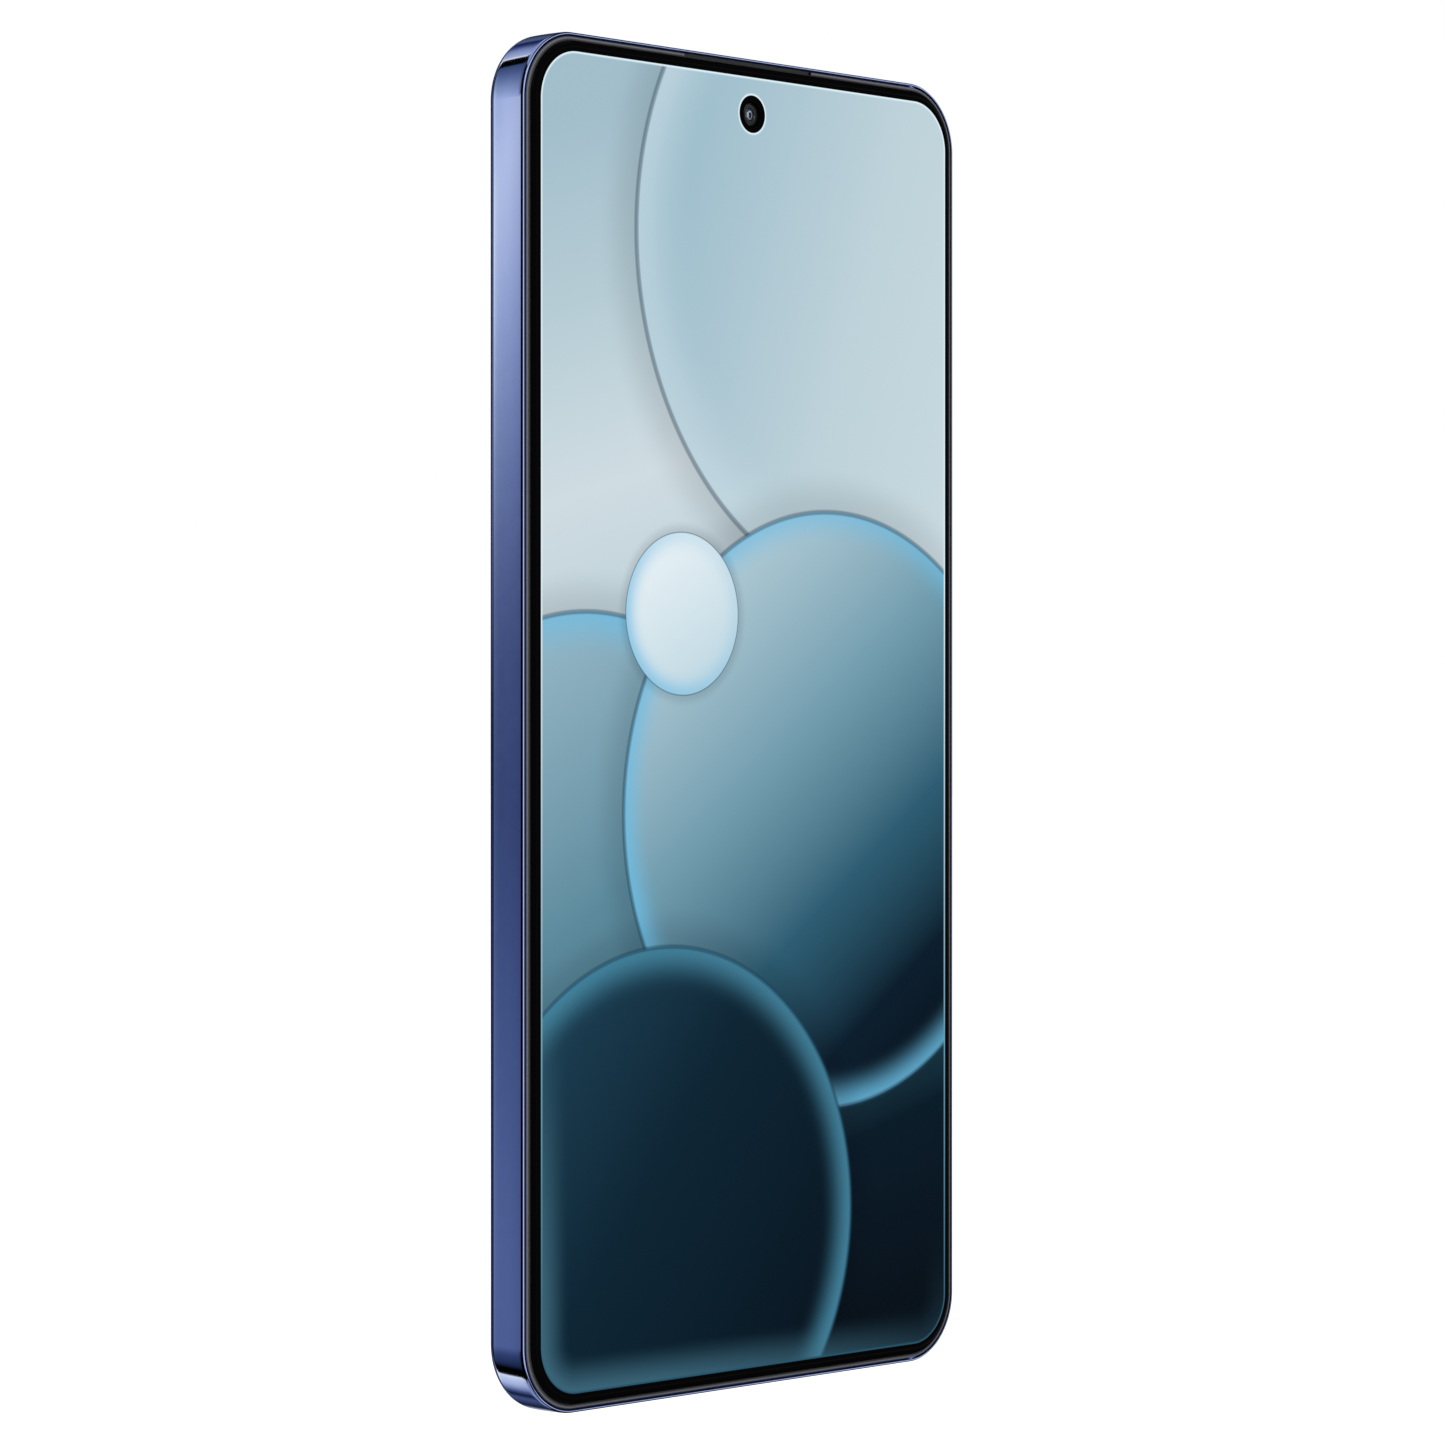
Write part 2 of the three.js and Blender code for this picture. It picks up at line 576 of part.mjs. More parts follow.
for (const [name, [x, z]] of Object.entries(SCREWS)) {
  const shank = disc(SCREW.shank, [3.4, 6.1], x, z, 12);
  const head = disc(SCREW.head, [6.02, 6.34], x, z, 16);
  add(name, join(shank, head), STEEL);
}

phone.position.y = -TOTAL_DEPTH / 2;

export default phone;
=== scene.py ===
import math

import bmesh
import bpy
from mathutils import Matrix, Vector


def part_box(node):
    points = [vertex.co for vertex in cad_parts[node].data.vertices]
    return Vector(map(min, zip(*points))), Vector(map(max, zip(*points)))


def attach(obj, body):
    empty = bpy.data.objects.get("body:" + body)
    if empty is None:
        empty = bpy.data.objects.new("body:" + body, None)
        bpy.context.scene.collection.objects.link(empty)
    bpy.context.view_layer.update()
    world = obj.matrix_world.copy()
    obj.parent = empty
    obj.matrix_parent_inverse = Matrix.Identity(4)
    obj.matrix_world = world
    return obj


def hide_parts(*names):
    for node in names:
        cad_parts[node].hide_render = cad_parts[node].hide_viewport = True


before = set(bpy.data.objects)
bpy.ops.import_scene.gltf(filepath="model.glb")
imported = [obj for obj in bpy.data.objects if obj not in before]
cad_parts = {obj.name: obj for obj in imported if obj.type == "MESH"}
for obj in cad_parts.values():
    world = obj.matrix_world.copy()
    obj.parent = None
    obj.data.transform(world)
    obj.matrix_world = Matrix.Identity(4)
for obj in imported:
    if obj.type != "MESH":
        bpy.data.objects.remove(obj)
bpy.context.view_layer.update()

# Metres. X runs across the phone, Z up its height, and Y into its depth from the screen.
MM = 0.001
BODY_LOW, BODY_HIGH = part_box("side_frame")
GLASS_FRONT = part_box("cover_glass")[0].y
CENTRE = Vector((0, 0, (BODY_LOW.z + BODY_HIGH.z) / 2))
BODY = {
    "x": 0.0,
    "z": CENTRE.z / MM,
    "width": (BODY_HIGH.x - BODY_LOW.x) / MM,
    "height": (BODY_HIGH.z - BODY_LOW.z) / MM,
    "radius": 8.2,
}
SCREEN_MARGIN = 2.35
SCREEN_RADIUS = 5.85
CAMERA_HOLE = 2.25
LENS_OPENING = 1.5
LENS_HEIGHT = BODY_HIGH.z / MM - 6.75
CORNER_STEPS = 28
SMALLEST_RADIUS = 0.3
BACK_FACE = 7.3
ISLAND_FACE = 8.5
RING_FACE = 9.0
GRAIN_LOW, GRAIN_HIGH = 0.3, 0.7


def middle(node):
    """Centre of a CAD node, as x, y from the screen's face, and z, in millimetres."""
    low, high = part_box(node)
    centre = (low + high) / 2
    return centre.x / MM, (centre.y - GLASS_FRONT) / MM, centre.z / MM


def corners(node):
    """Lowest and highest corner of a CAD node, measured as its middle is."""
    return [(side.x / MM, (side.y - GLASS_FRONT) / MM, side.z / MM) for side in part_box(node)]


def extent(node):
    """Size of a CAD node across, in depth and in height, in millimetres."""
    low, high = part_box(node)
    return tuple(side / MM for side in high - low)


# ---- Mesh tools ---------------------------------------------------------------------

def place(x, y, z):
    """A point given in millimetres, with y measured from the screen's face."""
    return Vector((x * MM, GLASS_FRONT + y * MM, z * MM))


def bezier(start, pull, end, steps):
    """Points of a quadratic curve, its start left out."""
    points = []
    for i in range(1, steps + 1):
        t = i / steps
        weights = (1 - t) ** 2, 2 * t * (1 - t), t * t
        weighted = list(zip(weights, (start, pull, end)))
        points.append(tuple(sum(w * p[k] for w, p in weighted) for k in (0, 1)))
    return points


def arc(centre, radius, start, end, steps):
    """Points of a circle's arc between two angles in degrees, both ends kept."""
    angles = [math.radians(start + (end - start) * i / steps) for i in range(steps + 1)]
    return [(centre[0] + radius * math.cos(a), centre[1] + radius * math.sin(a)) for a in angles]


def outline(form, inset):
    """(x, z) points of a round-cornered rectangle drawn in by an inset."""
    radius = max(form["radius"] - inset, SMALLEST_RADIUS)
    reach_x = form["width"] / 2 - inset - radius
    reach_z = form["height"] / 2 - inset - radius
    points = []
    for corner, (sign_x, sign_z) in enumerate(((1, 1), (-1, 1), (-1, -1), (1, -1))):
        centre = form["x"] + sign_x * reach_x, form["z"] + sign_z * reach_z
        points += arc(centre, radius, 90 * corner, 90 * corner + 90, CORNER_STEPS)
    return points


def skin(mesh, loops, closed, capped=True):
    """Faces between neighbouring loops, which close into a ring or end in caps."""
    rows = [[mesh.verts.new(point) for point in loop] for loop in loops]
    pairs = list(zip(rows, rows[1:] + rows[:1]))
    for low, high in pairs if closed else pairs[:-1]:
        for i in range(len(low)):
            k = (i + 1) % len(low)
            mesh.faces.new((low[i], low[k], high[k], high[i]))
    if capped and not closed:
        mesh.faces.new(rows[0])
        mesh.faces.new(rows[-1])


def to_object(mesh, name):
    bmesh.ops.remove_doubles(mesh, verts=mesh.verts, dist=1e-8)
    bmesh.ops.recalc_face_normals(mesh, faces=mesh.faces)
    data = bpy.data.meshes.new(name)
    mesh.to_mesh(data)
    mesh.free()
    obj = bpy.data.objects.new(name, data)
    bpy.context.scene.collection.objects.link(obj)
    return obj


def loft(name, form, profile, closed=False):
    """A profile of (inset, y) points swept round a round-cornered rectangle."""
    mesh = bmesh.new()
    skin(mesh, [[place(x, y, z) for x, z in outline(form, s)] for s, y in profile], closed)
    return to_object(mesh, name)


def turned(name, x, z, profile, steps=64, closed=False):
    """A profile of (radius, y) points turned about an axis along the depth."""
    mesh = bmesh.new()
    loops = []
    for radius, y in profile:
        ring = arc((x, z), max(radius, 1e-4), 0, 360 * (1 - 1 / steps), steps - 1)
        loops.append([place(px, y, pz) for px, pz in ring])
    skin(mesh, loops, closed)
    return to_object(mesh, name)


def capsule(length, width, steps=14):
    reach = (length - width) / 2
    return arc((reach, 0), width / 2, -90, 90, steps) + arc((-reach, 0), width / 2, 90, 270, steps)


def capsule_up(name, x, y, profile, length, width):
    """A round-ended bar along the height, from (inset, z) points."""
    mesh = bmesh.new()
    loops = []
    for inset, z in profile:
        points = capsule(length - 2 * inset, width - 2 * inset)
        loops.append([place(x + a, y + b, z) for a, b in points])
    skin(mesh, loops, closed=False)
    return to_object(mesh, name)


def capsule_across(name, y, z, profile, length, width):
    """A round-ended bar across the phone, its long side up, from (inset, x) points."""
    mesh = bmesh.new()
    loops = []
    for inset, x in profile:
        points = capsule(length - 2 * inset, width - 2 * inset)
        loops.append([place(x, y + b, z + a) for a, b in points])
    skin(mesh, loops, closed=False)
    return to_object(mesh, name)


def block(name, low, high, bevel):
    """A box between two corners, in millimetres, with rounded edges."""
    mesh = bmesh.new()
    bmesh.ops.create_cube(mesh, size=1)
    a, b = place(*low), place(*high)
    bmesh.ops.scale(mesh, vec=b - a, verts=mesh.verts)
    bmesh.ops.translate(mesh, vec=(a + b) / 2, verts=mesh.verts)
    bmesh.ops.bevel(
        mesh, geom=mesh.edges[:], offset=bevel * MM, segments=3, profile=0.5, affect="EDGES",
    )
    return to_object(mesh, name)


def apply_modifiers(obj):
    bpy.context.view_layer.update()
    depsgraph = bpy.context.evaluated_depsgraph_get()
    data = bpy.data.meshes.new_from_object(obj.evaluated_get(depsgraph))
    obj.modifiers.clear()
    obj.data = data


def combine(obj, others, operation="UNION"):
    """Joins other pieces to one as a single solid, or takes them out of it."""
    group = bpy.data.collections.new(obj.name + "_tools")
    for other in others:
        group.objects.link(other)
    boolean = obj.modifiers.new("combine", "BOOLEAN")
    boolean.operation = operation
    boolean.solver = "EXACT"
    boolean.operand_type = "COLLECTION"
    boolean.collection = group
    apply_modifiers(obj)
    for other in others:
        bpy.data.objects.remove(other)
    bpy.data.collections.remove(group)
    return obj


def cut(obj, cutters):
    return combine(obj, cutters, "DIFFERENCE")


def smooth(obj, angle=32):
    """Smooth shading with sharp edges above an angle, and flats that stay flat."""
    obj.data.polygons.foreach_set("use_smooth", [True] * len(obj.data.polygons))
    obj.data.set_sharp_from_angle(angle=math.radians(angle))
    weighted = obj.modifiers.new("normals", "WEIGHTED_NORMAL")
    weighted.keep_sharp = True
    weighted.weight = 90
    apply_modifiers(obj)
    return obj


def finish_piece(obj, material, body="body", nodes=(), angle=32):
    """Shading, material, slot and body of a finished piece, and the CAD nodes it stands for."""
    smooth(obj, angle)
    obj.data.materials.clear()
    obj.data.materials.append(material)
    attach(obj, body)
    if nodes:
        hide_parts(*nodes)
    return obj


# ---- Node tools ---------------------------------------------------------------------

class Nodes:
    """Short calls for building one node tree."""

    def __init__(self, tree):
        self.tree = tree

    def add(self, kind, **settings):
        node = self.tree.nodes.new(kind)
        for key, value in settings.items():
            setattr(node, key, value)
        return node

    def put(self, socket, value):
        if hasattr(value, "is_output"):
            self.tree.links.new(value, socket)
        else:
            socket.default_value = value

    def math(self, operation, *values, clamp=False):
        node = self.add("ShaderNodeMath", operation=operation, use_clamp=clamp)
        for socket, value in zip(node.inputs, values):
            self.put(socket, value)
        return node.outputs[0]

    def ease(self, value, start, end, low=0.0, high=1.0, smoothed=True):
        """Runs from low to high as the value goes from start to end, and stays there."""
        kind = "SMOOTHSTEP" if smoothed else "LINEAR"
        node = self.add("ShaderNodeMapRange", interpolation_type=kind)
        for socket, item in zip(node.inputs, (value, start, end, low, high)):
            self.put(socket, item)
        return node.outputs[0]

    def ramp(self, value, stops):
        """Colour along a value, from (position, colour) stops."""
        node = self.add("ShaderNodeValToRGB")
        points = node.color_ramp.elements
        while len(points) < len(stops):
            points.new(0.5)
        for point, (position, colour) in zip(points, stops):
            point.position = position
        for point, (position, colour) in zip(points, stops):
            point.color = (*colour[:3], 1)
        self.put(node.inputs[0], value)
        return node.outputs[0]

    def mix(self, factor, first, second, blend="MIX"):
        node = self.add("ShaderNodeMix", data_type="RGBA", blend_type=blend)
        self.put(node.inputs[0], factor)
        self.put(node.inputs[6], first if hasattr(first, "is_output") else (*first, 1))
        self.put(node.inputs[7], second if hasattr(second, "is_output") else (*second, 1))
        return node.outputs[2]

    def noise(self, vector, scale, detail=3.0, roughness=0.55):
        node = self.add("ShaderNodeTexNoise")
        self.put(node.inputs["Vector"], vector)
        node.inputs["Scale"].default_value = scale
        node.inputs["Detail"].default_value = detail
        node.inputs["Roughness"].default_value = roughness
        return node.outputs["Fac"]

    def split(self, vector):
        node = self.add("ShaderNodeSeparateXYZ")
        self.put(node.inputs[0], vector)
        return node.outputs[:3]

    def length(self, first, second):
        """Length of a step that goes one value along one axis and another along the next."""
        squares = [self.math("MULTIPLY", side, side) for side in (first, second)]
        return self.math("SQRT", self.math("ADD", *squares))

    def away_from(self, x, z):
        """Distance in millimetres from an axis along the depth, at x and z in millimetres."""
        across, _, up = self.split(self.position())
        offsets = [self.math("SUBTRACT", across, x * MM), self.math("SUBTRACT", up, z * MM)]
        return self.math("MULTIPLY", self.length(*offsets), 1 / MM)

    def grain_range(self, grain, low, high):
        """Runs from low to high over the usual range of a noise."""
        return self.ease(grain, GRAIN_LOW, GRAIN_HIGH, low, high)

    def bump(self, height, distance, strength=1.0):
        node = self.add("ShaderNodeBump")
        node.inputs["Strength"].default_value = strength
        node.inputs["Distance"].default_value = distance
        self.put(node.inputs["Height"], height)
        return node.outputs[0]

    def position(self, scale=(1, 1, 1)):
        """Place on the object in metres, stretched by a scale."""
        coordinates = self.add("ShaderNodeTexCoord").outputs["Object"]
        if scale == (1, 1, 1):
            return coordinates
        node = self.add("ShaderNodeMapping")
        self.put(node.inputs["Vector"], coordinates)
        node.inputs["Scale"].default_value = scale
        return node.outputs[0]


def linear(red, green, blue):
    """Screen colour of 0 to 255 as linear light."""
    return tuple(
        c / 12.92 if c <= 0.04045 else ((c + 0.055) / 1.055) ** 2.4
        for c in (red / 255, green / 255, blue / 255)
    )


def material(name, **settings):
    """A Principled material, its node helper and its shader, with constant values set."""
    made = bpy.data.materials.new(name)
    made.use_nodes = True
    shader = made.node_tree.nodes["Principled BSDF"]
    for key, value in settings.items():
        shader.inputs[key.replace("_", " ")].default_value = value
    return made, Nodes(made.node_tree), shader


def grained(name, dark, light, grain, rough, bump_depth, stretch=(1, 1, 1), **settings):
    """A surface whose colour, roughness and relief vary with a fine grain, its size in mm."""
    made, nodes, shader = material(name, **settings)
    place_on = nodes.position(stretch)
    fine = nodes.noise(place_on, 1 / (grain * MM), 4)
    broad = nodes.noise(place_on, 0.06 / (grain * MM), 2)
    both = nodes.math("MULTIPLY_ADD", broad, 0.6, nodes.math("MULTIPLY", fine, 0.4))
    nodes.put(shader.inputs["Base Color"], nodes.ramp(both, [(GRAIN_LOW, dark), (GRAIN_HIGH, light)]))
    nodes.put(shader.inputs["Roughness"], nodes.grain_range(both, *rough))
    nodes.put(shader.inputs["Normal"], nodes.bump(fine, bump_depth * MM))
    return made


# ---- Materials ----------------------------------------------------------------------

def frame_metal():
    """Polished aluminium with a lavender-blue anodised tint."""
    return grained(
        "frame_metal", (0.385, 0.465, 0.79), (0.415, 0.495, 0.81), 0.12, (0.05, 0.08), 0.00003,
        Metallic=1.0,
    )


def ring_plastic():
    """Moulded black surround of the glass; its colour paints a warm grey highlight on the chamfer, a
    thin blue reflection beside it, and shade darkening both edges by depth.
    """
    made, nodes, shader = material("ring_plastic", IOR=1.45)
    _, y, _ = nodes.split(nodes.position())
    depth = nodes.math("MULTIPLY_ADD", y, 1 / MM, -GLASS_FRONT / MM)
    across = nodes.ease(depth, 0.40, 0.70, smoothed=False)
    # Painted light by depth behind the glass: a warm grey highlight band, a dark blue reflection line,
    # and painted shade going black at both edges.
    painted_light_and_shade = nodes.ramp(across, [
        (0.0, (0.004, 0.004, 0.004)), (0.20, (0.013, 0.014, 0.018)), (0.44, (0.042, 0.042, 0.043)),
        (0.60, (0.120, 0.113, 0.096)), (0.74, (0.040, 0.050, 0.095)), (0.88, (0.006, 0.011, 0.038)),
        (1.0, (0.003, 0.003, 0.004)),
    ])
    grain = nodes.noise(nodes.position(), 12000)
    shade = grey(nodes, nodes.grain_range(grain, 0.82, 1.1))
    nodes.put(shader.inputs["Base Color"], nodes.mix(1.0, painted_light_and_shade, shade, blend="MULTIPLY"))
    nodes.put(shader.inputs["Roughness"], nodes.grain_range(grain, 0.42, 0.52))
    nodes.put(shader.inputs["Normal"], nodes.bump(grain, 0.0000006))
    return made


def black_plastic():
    return grained(
        "black_plastic", (0.010, 0.010, 0.011), (0.022, 0.022, 0.024), 0.1, (0.45, 0.6), 0.004,
        IOR=1.5,
    )


def glassy_circle(nodes, place_on, under, centre, radius, turn, fill, rim, rim_width, rim_strength):
    """One soft glassy circle laid over a picture: a filled, rounded form with a lit rim."""
    local = nodes.add("ShaderNodeMapping", vector_type="TEXTURE")
    nodes.put(local.inputs["Vector"], place_on)
    local.inputs["Location"].default_value = (centre[0], 0, centre[1])
    local.inputs["Rotation"].default_value = (0, math.radians(turn), 0)
    local.inputs["Scale"].default_value = (radius, 1, radius)
    across, _, up = nodes.split(local.outputs[0])
    depth = nodes.math("SUBTRACT", 1.0, nodes.length(across, up))
    shade = nodes.ease(depth, -0.16, 0.0, 1.0, 0.80)
    under = nodes.mix(1.0, under, grey(nodes, shade), blend="MULTIPLY")
    line = nodes.math("SUBTRACT", 1.0, nodes.ease(nodes.math("ABSOLUTE", depth), 0.004, 0.012))
    along = nodes.ease(across, -1.0, 1.0, smoothed=False)
    body = nodes.ramp(along, fill)
    glow = nodes.math("POWER", nodes.ease(depth, rim_width, 0.0), 2.2)
    upper = nodes.ease(up, -1.1, 1.1, *rim_strength)
    body = nodes.mix(nodes.math("MULTIPLY", glow, upper), body, rim)
    inside = nodes.ease(depth, -0.004, 0.004)
    over = nodes.mix(inside, under, body)
    return nodes.mix(nodes.math("MULTIPLY", line, 0.55), over, linear(24, 62, 84))


def grey(nodes, value):
    node = nodes.add("ShaderNodeCombineColor")
    for socket in node.inputs[:3]:
        nodes.put(socket, value)
    return node.outputs[0]


BRIGHT_RIM = linear(108, 188, 226)
PICTURE_GROUND = [
    (0.0, linear(3, 14, 24)), (0.14, linear(5, 26, 40)), (0.26, linear(42, 88, 108)),
    (0.38, linear(104, 146, 164)), (0.52, linear(176, 200, 210)), (0.72, linear(207, 220, 226)),
    (0.86, linear(182, 204, 213)), (1.0, linear(162, 190, 203)),
]
# Circles of the picture from back to front, in half-widths of the screen from its centre.
PICTURE_CIRCLES = [
    {
        "centre": (0.62, 1.62), "radius": 1.18, "turn": 20,
        "fill": [
            (0.0, linear(150, 185, 201)), (0.5, linear(190, 210, 218)), (1.0, linear(206, 221, 227)),
        ],
        "rim": linear(222, 237, 244), "rim_width": 0.30, "rim_strength": (0.3, 0.5),
    },
    {
        "centre": (-0.78, -0.62), "radius": 0.98, "turn": 62,
        "fill": [(0.0, linear(150, 184, 199)), (0.5, linear(92, 138, 157)), (1.0, linear(34, 78, 98))],
        "rim": BRIGHT_RIM, "rim_width": 0.22, "rim_strength": (0.4, 0.75),
    },
    {
        "centre": (0.40, -0.30), "radius": 1.02, "turn": 55,
        "fill": [
            (0.0, linear(176, 203, 214)), (0.35, linear(112, 156, 174)), (0.62, linear(44, 92, 114)),
            (0.84, linear(6, 28, 44)), (1.0, linear(3, 16, 28)),
        ],
        "rim": BRIGHT_RIM, "rim_width": 0.16, "rim_strength": (0.75, 0.6),
    },
    {
        "centre": (-0.42, -1.66), "radius": 0.92, "turn": 40,
        "fill": [(0.0, linear(26, 62, 82)), (0.4, linear(9, 36, 52)), (1.0, linear(2, 16, 28))],
        "rim": linear(74, 142, 170), "rim_width": 0.20, "rim_strength": (0.85, 0.7),
    },
    {
        "centre": (-0.34, 0.36), "radius": 0.27, "turn": 60,
        "fill": [(0.0, linear(231, 241, 245)), (1.0, linear(190, 215, 226))],
        "rim": BRIGHT_RIM, "rim_width": 0.4, "rim_strength": (0.7, 0.2),
    },
]


def screen_picture(nodes, across, up):
    """Plain abstract picture in pale grey-blue, teal and navy. Coordinates in half-widths."""
    combined = nodes.add("ShaderNodeCombineXYZ")
    nodes.put(combined.inputs[0], across)
    nodes.put(combined.inputs[2], up)
    lean = nodes.math("MULTIPLY_ADD", across, -0.28, up)
    height = nodes.ease(lean, -2.2, 2.2, smoothed=False)
    picture = nodes.ramp(height, PICTURE_GROUND)
    for circle in PICTURE_CIRCLES:
        picture = glassy_circle(nodes, combined.outputs[0], picture, **circle)
    return picture


def rounded_depth(nodes, across, up, half_width, half_height, radius):
    """Distance inside a round-cornered rectangle, in millimetres."""
    sides = []
    for value, half in ((across, half_width), (up, half_height)):
        sides.append(nodes.math("SUBTRACT", nodes.math("ABSOLUTE", value), half - radius))
    beyond = nodes.length(*[nodes.math("MAXIMUM", side, 0.0) for side in sides])
    within = nodes.math("MINIMUM", nodes.math("MAXIMUM", *sides), 0.0)
    return nodes.math("SUBTRACT", radius, nodes.math("ADD", beyond, within))


def screen_glass():
    """Black-bordered cover glass with the lit screen seen at its face, and a painted highlight line
    along the screen's edge and round the camera hole, brighter towards the top.
    """
    made, nodes, shader = material(
        "screen_glass", Base_Color=(0.0012, 0.0012, 0.0014, 1), IOR=1.42, Emission_Strength=1.0,
    )
    x, _, z = nodes.split(nodes.position())
    across = nodes.math("MULTIPLY", x, 1 / MM)
    up = nodes.math("MULTIPLY", nodes.math("SUBTRACT", z, CENTRE.z), 1 / MM)
    half_width = BODY["width"] / 2 - SCREEN_MARGIN
    half_height = BODY["height"] / 2 - SCREEN_MARGIN
    scaled = [nodes.math("MULTIPLY", side, 1 / half_width) for side in (across, up)]
    picture = screen_picture(nodes, *scaled)
    depth = rounded_depth(nodes, across, up, half_width, half_height, SCREEN_RADIUS)
    away = nodes.math("SUBTRACT", nodes.away_from(0, LENS_HEIGHT), CAMERA_HOLE)
    edge = nodes.math("MINIMUM", depth, away)
    # Painted highlight: a bright line within 0.34 mm of the screen's edge and the camera hole, fading
    # from pale at the top to dark teal at the bottom.
    painted_edge_highlight = nodes.ramp(
        nodes.ease(up, -half_height, half_height, smoothed=False),
        [(0.0, linear(34, 84, 108)), (0.25, linear(110, 164, 186)), (0.6, linear(226, 242, 249))],
    )
    low_corner = nodes.math("MULTIPLY_ADD", scaled[1], -0.8, nodes.math("MULTIPLY", scaled[0], -0.5))
    haze = nodes.math("MULTIPLY", nodes.ease(low_corner, 0.9, 2.2), nodes.ease(depth, 4.6, -1.0))
    picture = nodes.mix(haze, picture, linear(62, 106, 126))
    lit = nodes.mix(nodes.ease(edge, 0.34, 0.08), picture, painted_edge_highlight)
    shown = nodes.ease(edge, -0.03, 0.03)
    nodes.put(shader.inputs["Emission Color"], nodes.mix(shown, (0, 0, 0), lit))
    nodes.put(shader.inputs["Specular IOR Level"], nodes.ease(edge, -0.05, 0.05, 0.012, 0.5))
    smudge = nodes.noise(nodes.position(), 60, 3)
    nodes.put(shader.inputs["Roughness"], nodes.ease(smudge, 0.35, 0.7, 0.03, 0.06))
    return made


def rear_glass():
    """Frosted blue back glass with a fine silky sparkle."""
    return grained(
        "rear_glass", (0.115, 0.145, 0.300), (0.150, 0.185, 0.360), 0.06, (0.30, 0.40), 0.0016,
        Metallic=0.55, Coat_Weight=0.35, Coat_Roughness=0.22,
    )


def lens_glass():
    """Black camera window glass, glossy, with a fine grain."""
    made, nodes, shader = material("lens_glass", IOR=1.6, Coat_Weight=0.6, Coat_Roughness=0.02)
    grain = nodes.noise(nodes.position(), 9000, 2)
    nodes.put(
        shader.inputs["Base Color"],
        nodes.ramp(grain, [(GRAIN_LOW, (0.003, 0.003, 0.004)), (GRAIN_HIGH, (0.008, 0.008, 0.010))]),
    )
    nodes.put(shader.inputs["Roughness"], nodes.grain_range(grain, 0.03, 0.06))
    return made


def coated_lens(name, x, z, radius, inner, outer):
    """Coated lens element: tinted rings, running outward from the middle, are painted into the base
    colour and stand in for the coloured reflection of its coating.
    """
    made, nodes, shader = material(
        name, IOR=2.4, Specular_IOR_Level=0.9, Coat_Weight=1.0, Coat_Roughness=0.02,
    )
    along = nodes.math("MULTIPLY", nodes.away_from(x, z), 1 / radius)
    # Painted reflection: the inner and outer rings are the coating's tint laid into base colour in
    # place of its reflected colour.
    colour = nodes.ramp(along, [
        (0.0, (0.004, 0.005, 0.008)), (0.45, inner), (0.72, (0.004, 0.005, 0.007)), (0.92, outer),
        (1.0, (0.002, 0.002, 0.003)),
    ])
    nodes.put(shader.inputs["Base Color"], colour)
    nodes.put(shader.inputs["Roughness"], nodes.ease(along, 0, 1, 0.02, 0.05))
    return made


def brushed(name, dark, light, rough, stretch=(1, 1, 12)):
    return grained(name, dark, light, 0.25, rough, 0.0006, stretch, Metallic=1.0)


def printed_board():
    """Green solder mask with fine tracks and tinned pads."""
    made, nodes, shader = material("printed_board", IOR=1.5)
    here = nodes.position((1, 0, 1))
    cells = nodes.add("ShaderNodeTexVoronoi", feature="F1", distance="CHEBYCHEV")
    nodes.put(cells.inputs["Vector"], here)
    cells.inputs["Scale"].default_value = 900
    pads = nodes.ease(cells.outputs["Distance"], 0.16, 0.12)
    waves = nodes.add("ShaderNodeTexWave", wave_type="BANDS", bands_direction="X")
    nodes.put(waves.inputs["Vector"], here)
    waves.inputs["Scale"].default_value = 420
    waves.inputs["Distortion"].default_value = 3
    tracks = nodes.ease(waves.outputs["Fac"], 0.72, 0.8)
    mask = nodes.mix(tracks, (0.006, 0.045, 0.028), (0.014, 0.085, 0.050))
    nodes.put(shader.inputs["Base Color"], nodes.mix(pads, mask, (0.62, 0.60, 0.52)))
    nodes.put(shader.inputs["Metallic"], pads)
    nodes.put(shader.inputs["Roughness"], nodes.ease(tracks, 0, 1, 0.35, 0.5))
    nodes.put(shader.inputs["Normal"], nodes.bump(tracks, 0.00003))
    return made


def striped(name, dark, light, scale, direction, rough, metallic=0.0):
    """Parallel tracks or windings."""
    made, nodes, shader = material(name, Metallic=metallic)
    waves = nodes.add("ShaderNodeTexWave", wave_type="BANDS", bands_direction=direction)
    nodes.put(waves.inputs["Vector"], nodes.position())
    waves.inputs["Scale"].default_value = scale
    line = nodes.ease(waves.outputs["Fac"], 0.35, 0.6)
    nodes.put(shader.inputs["Base Color"], nodes.mix(line, dark, light))
    grain = nodes.noise(nodes.position(), 4000)
    nodes.put(shader.inputs["Roughness"], nodes.grain_range(grain, *rough))
    nodes.put(shader.inputs["Normal"], nodes.bump(line, 0.00004))
    return made


TURNS_PER_MM = 2


def wound_copper():
    """Flat spiral of lacquered wire."""
    made, nodes, shader = material("wound_copper", Metallic=0.9)
    x, _, z = middle("charging_coil")
    turns = nodes.math("MULTIPLY", nodes.away_from(x, z), TURNS_PER_MM)
    wire = nodes.math("PINGPONG", turns, 0.5)
    colour = nodes.ramp(wire, [(0.0, (0.10, 0.035, 0.012)), (0.5, (0.52, 0.23, 0.10))])
    nodes.put(shader.inputs["Base Color"], colour)
    nodes.put(shader.inputs["Roughness"], nodes.ease(wire, 0, 0.5, 0.5, 0.28))
    nodes.put(shader.inputs["Normal"], nodes.bump(wire, 0.0001))
    return made


FLASH_RADIUS = 2.3


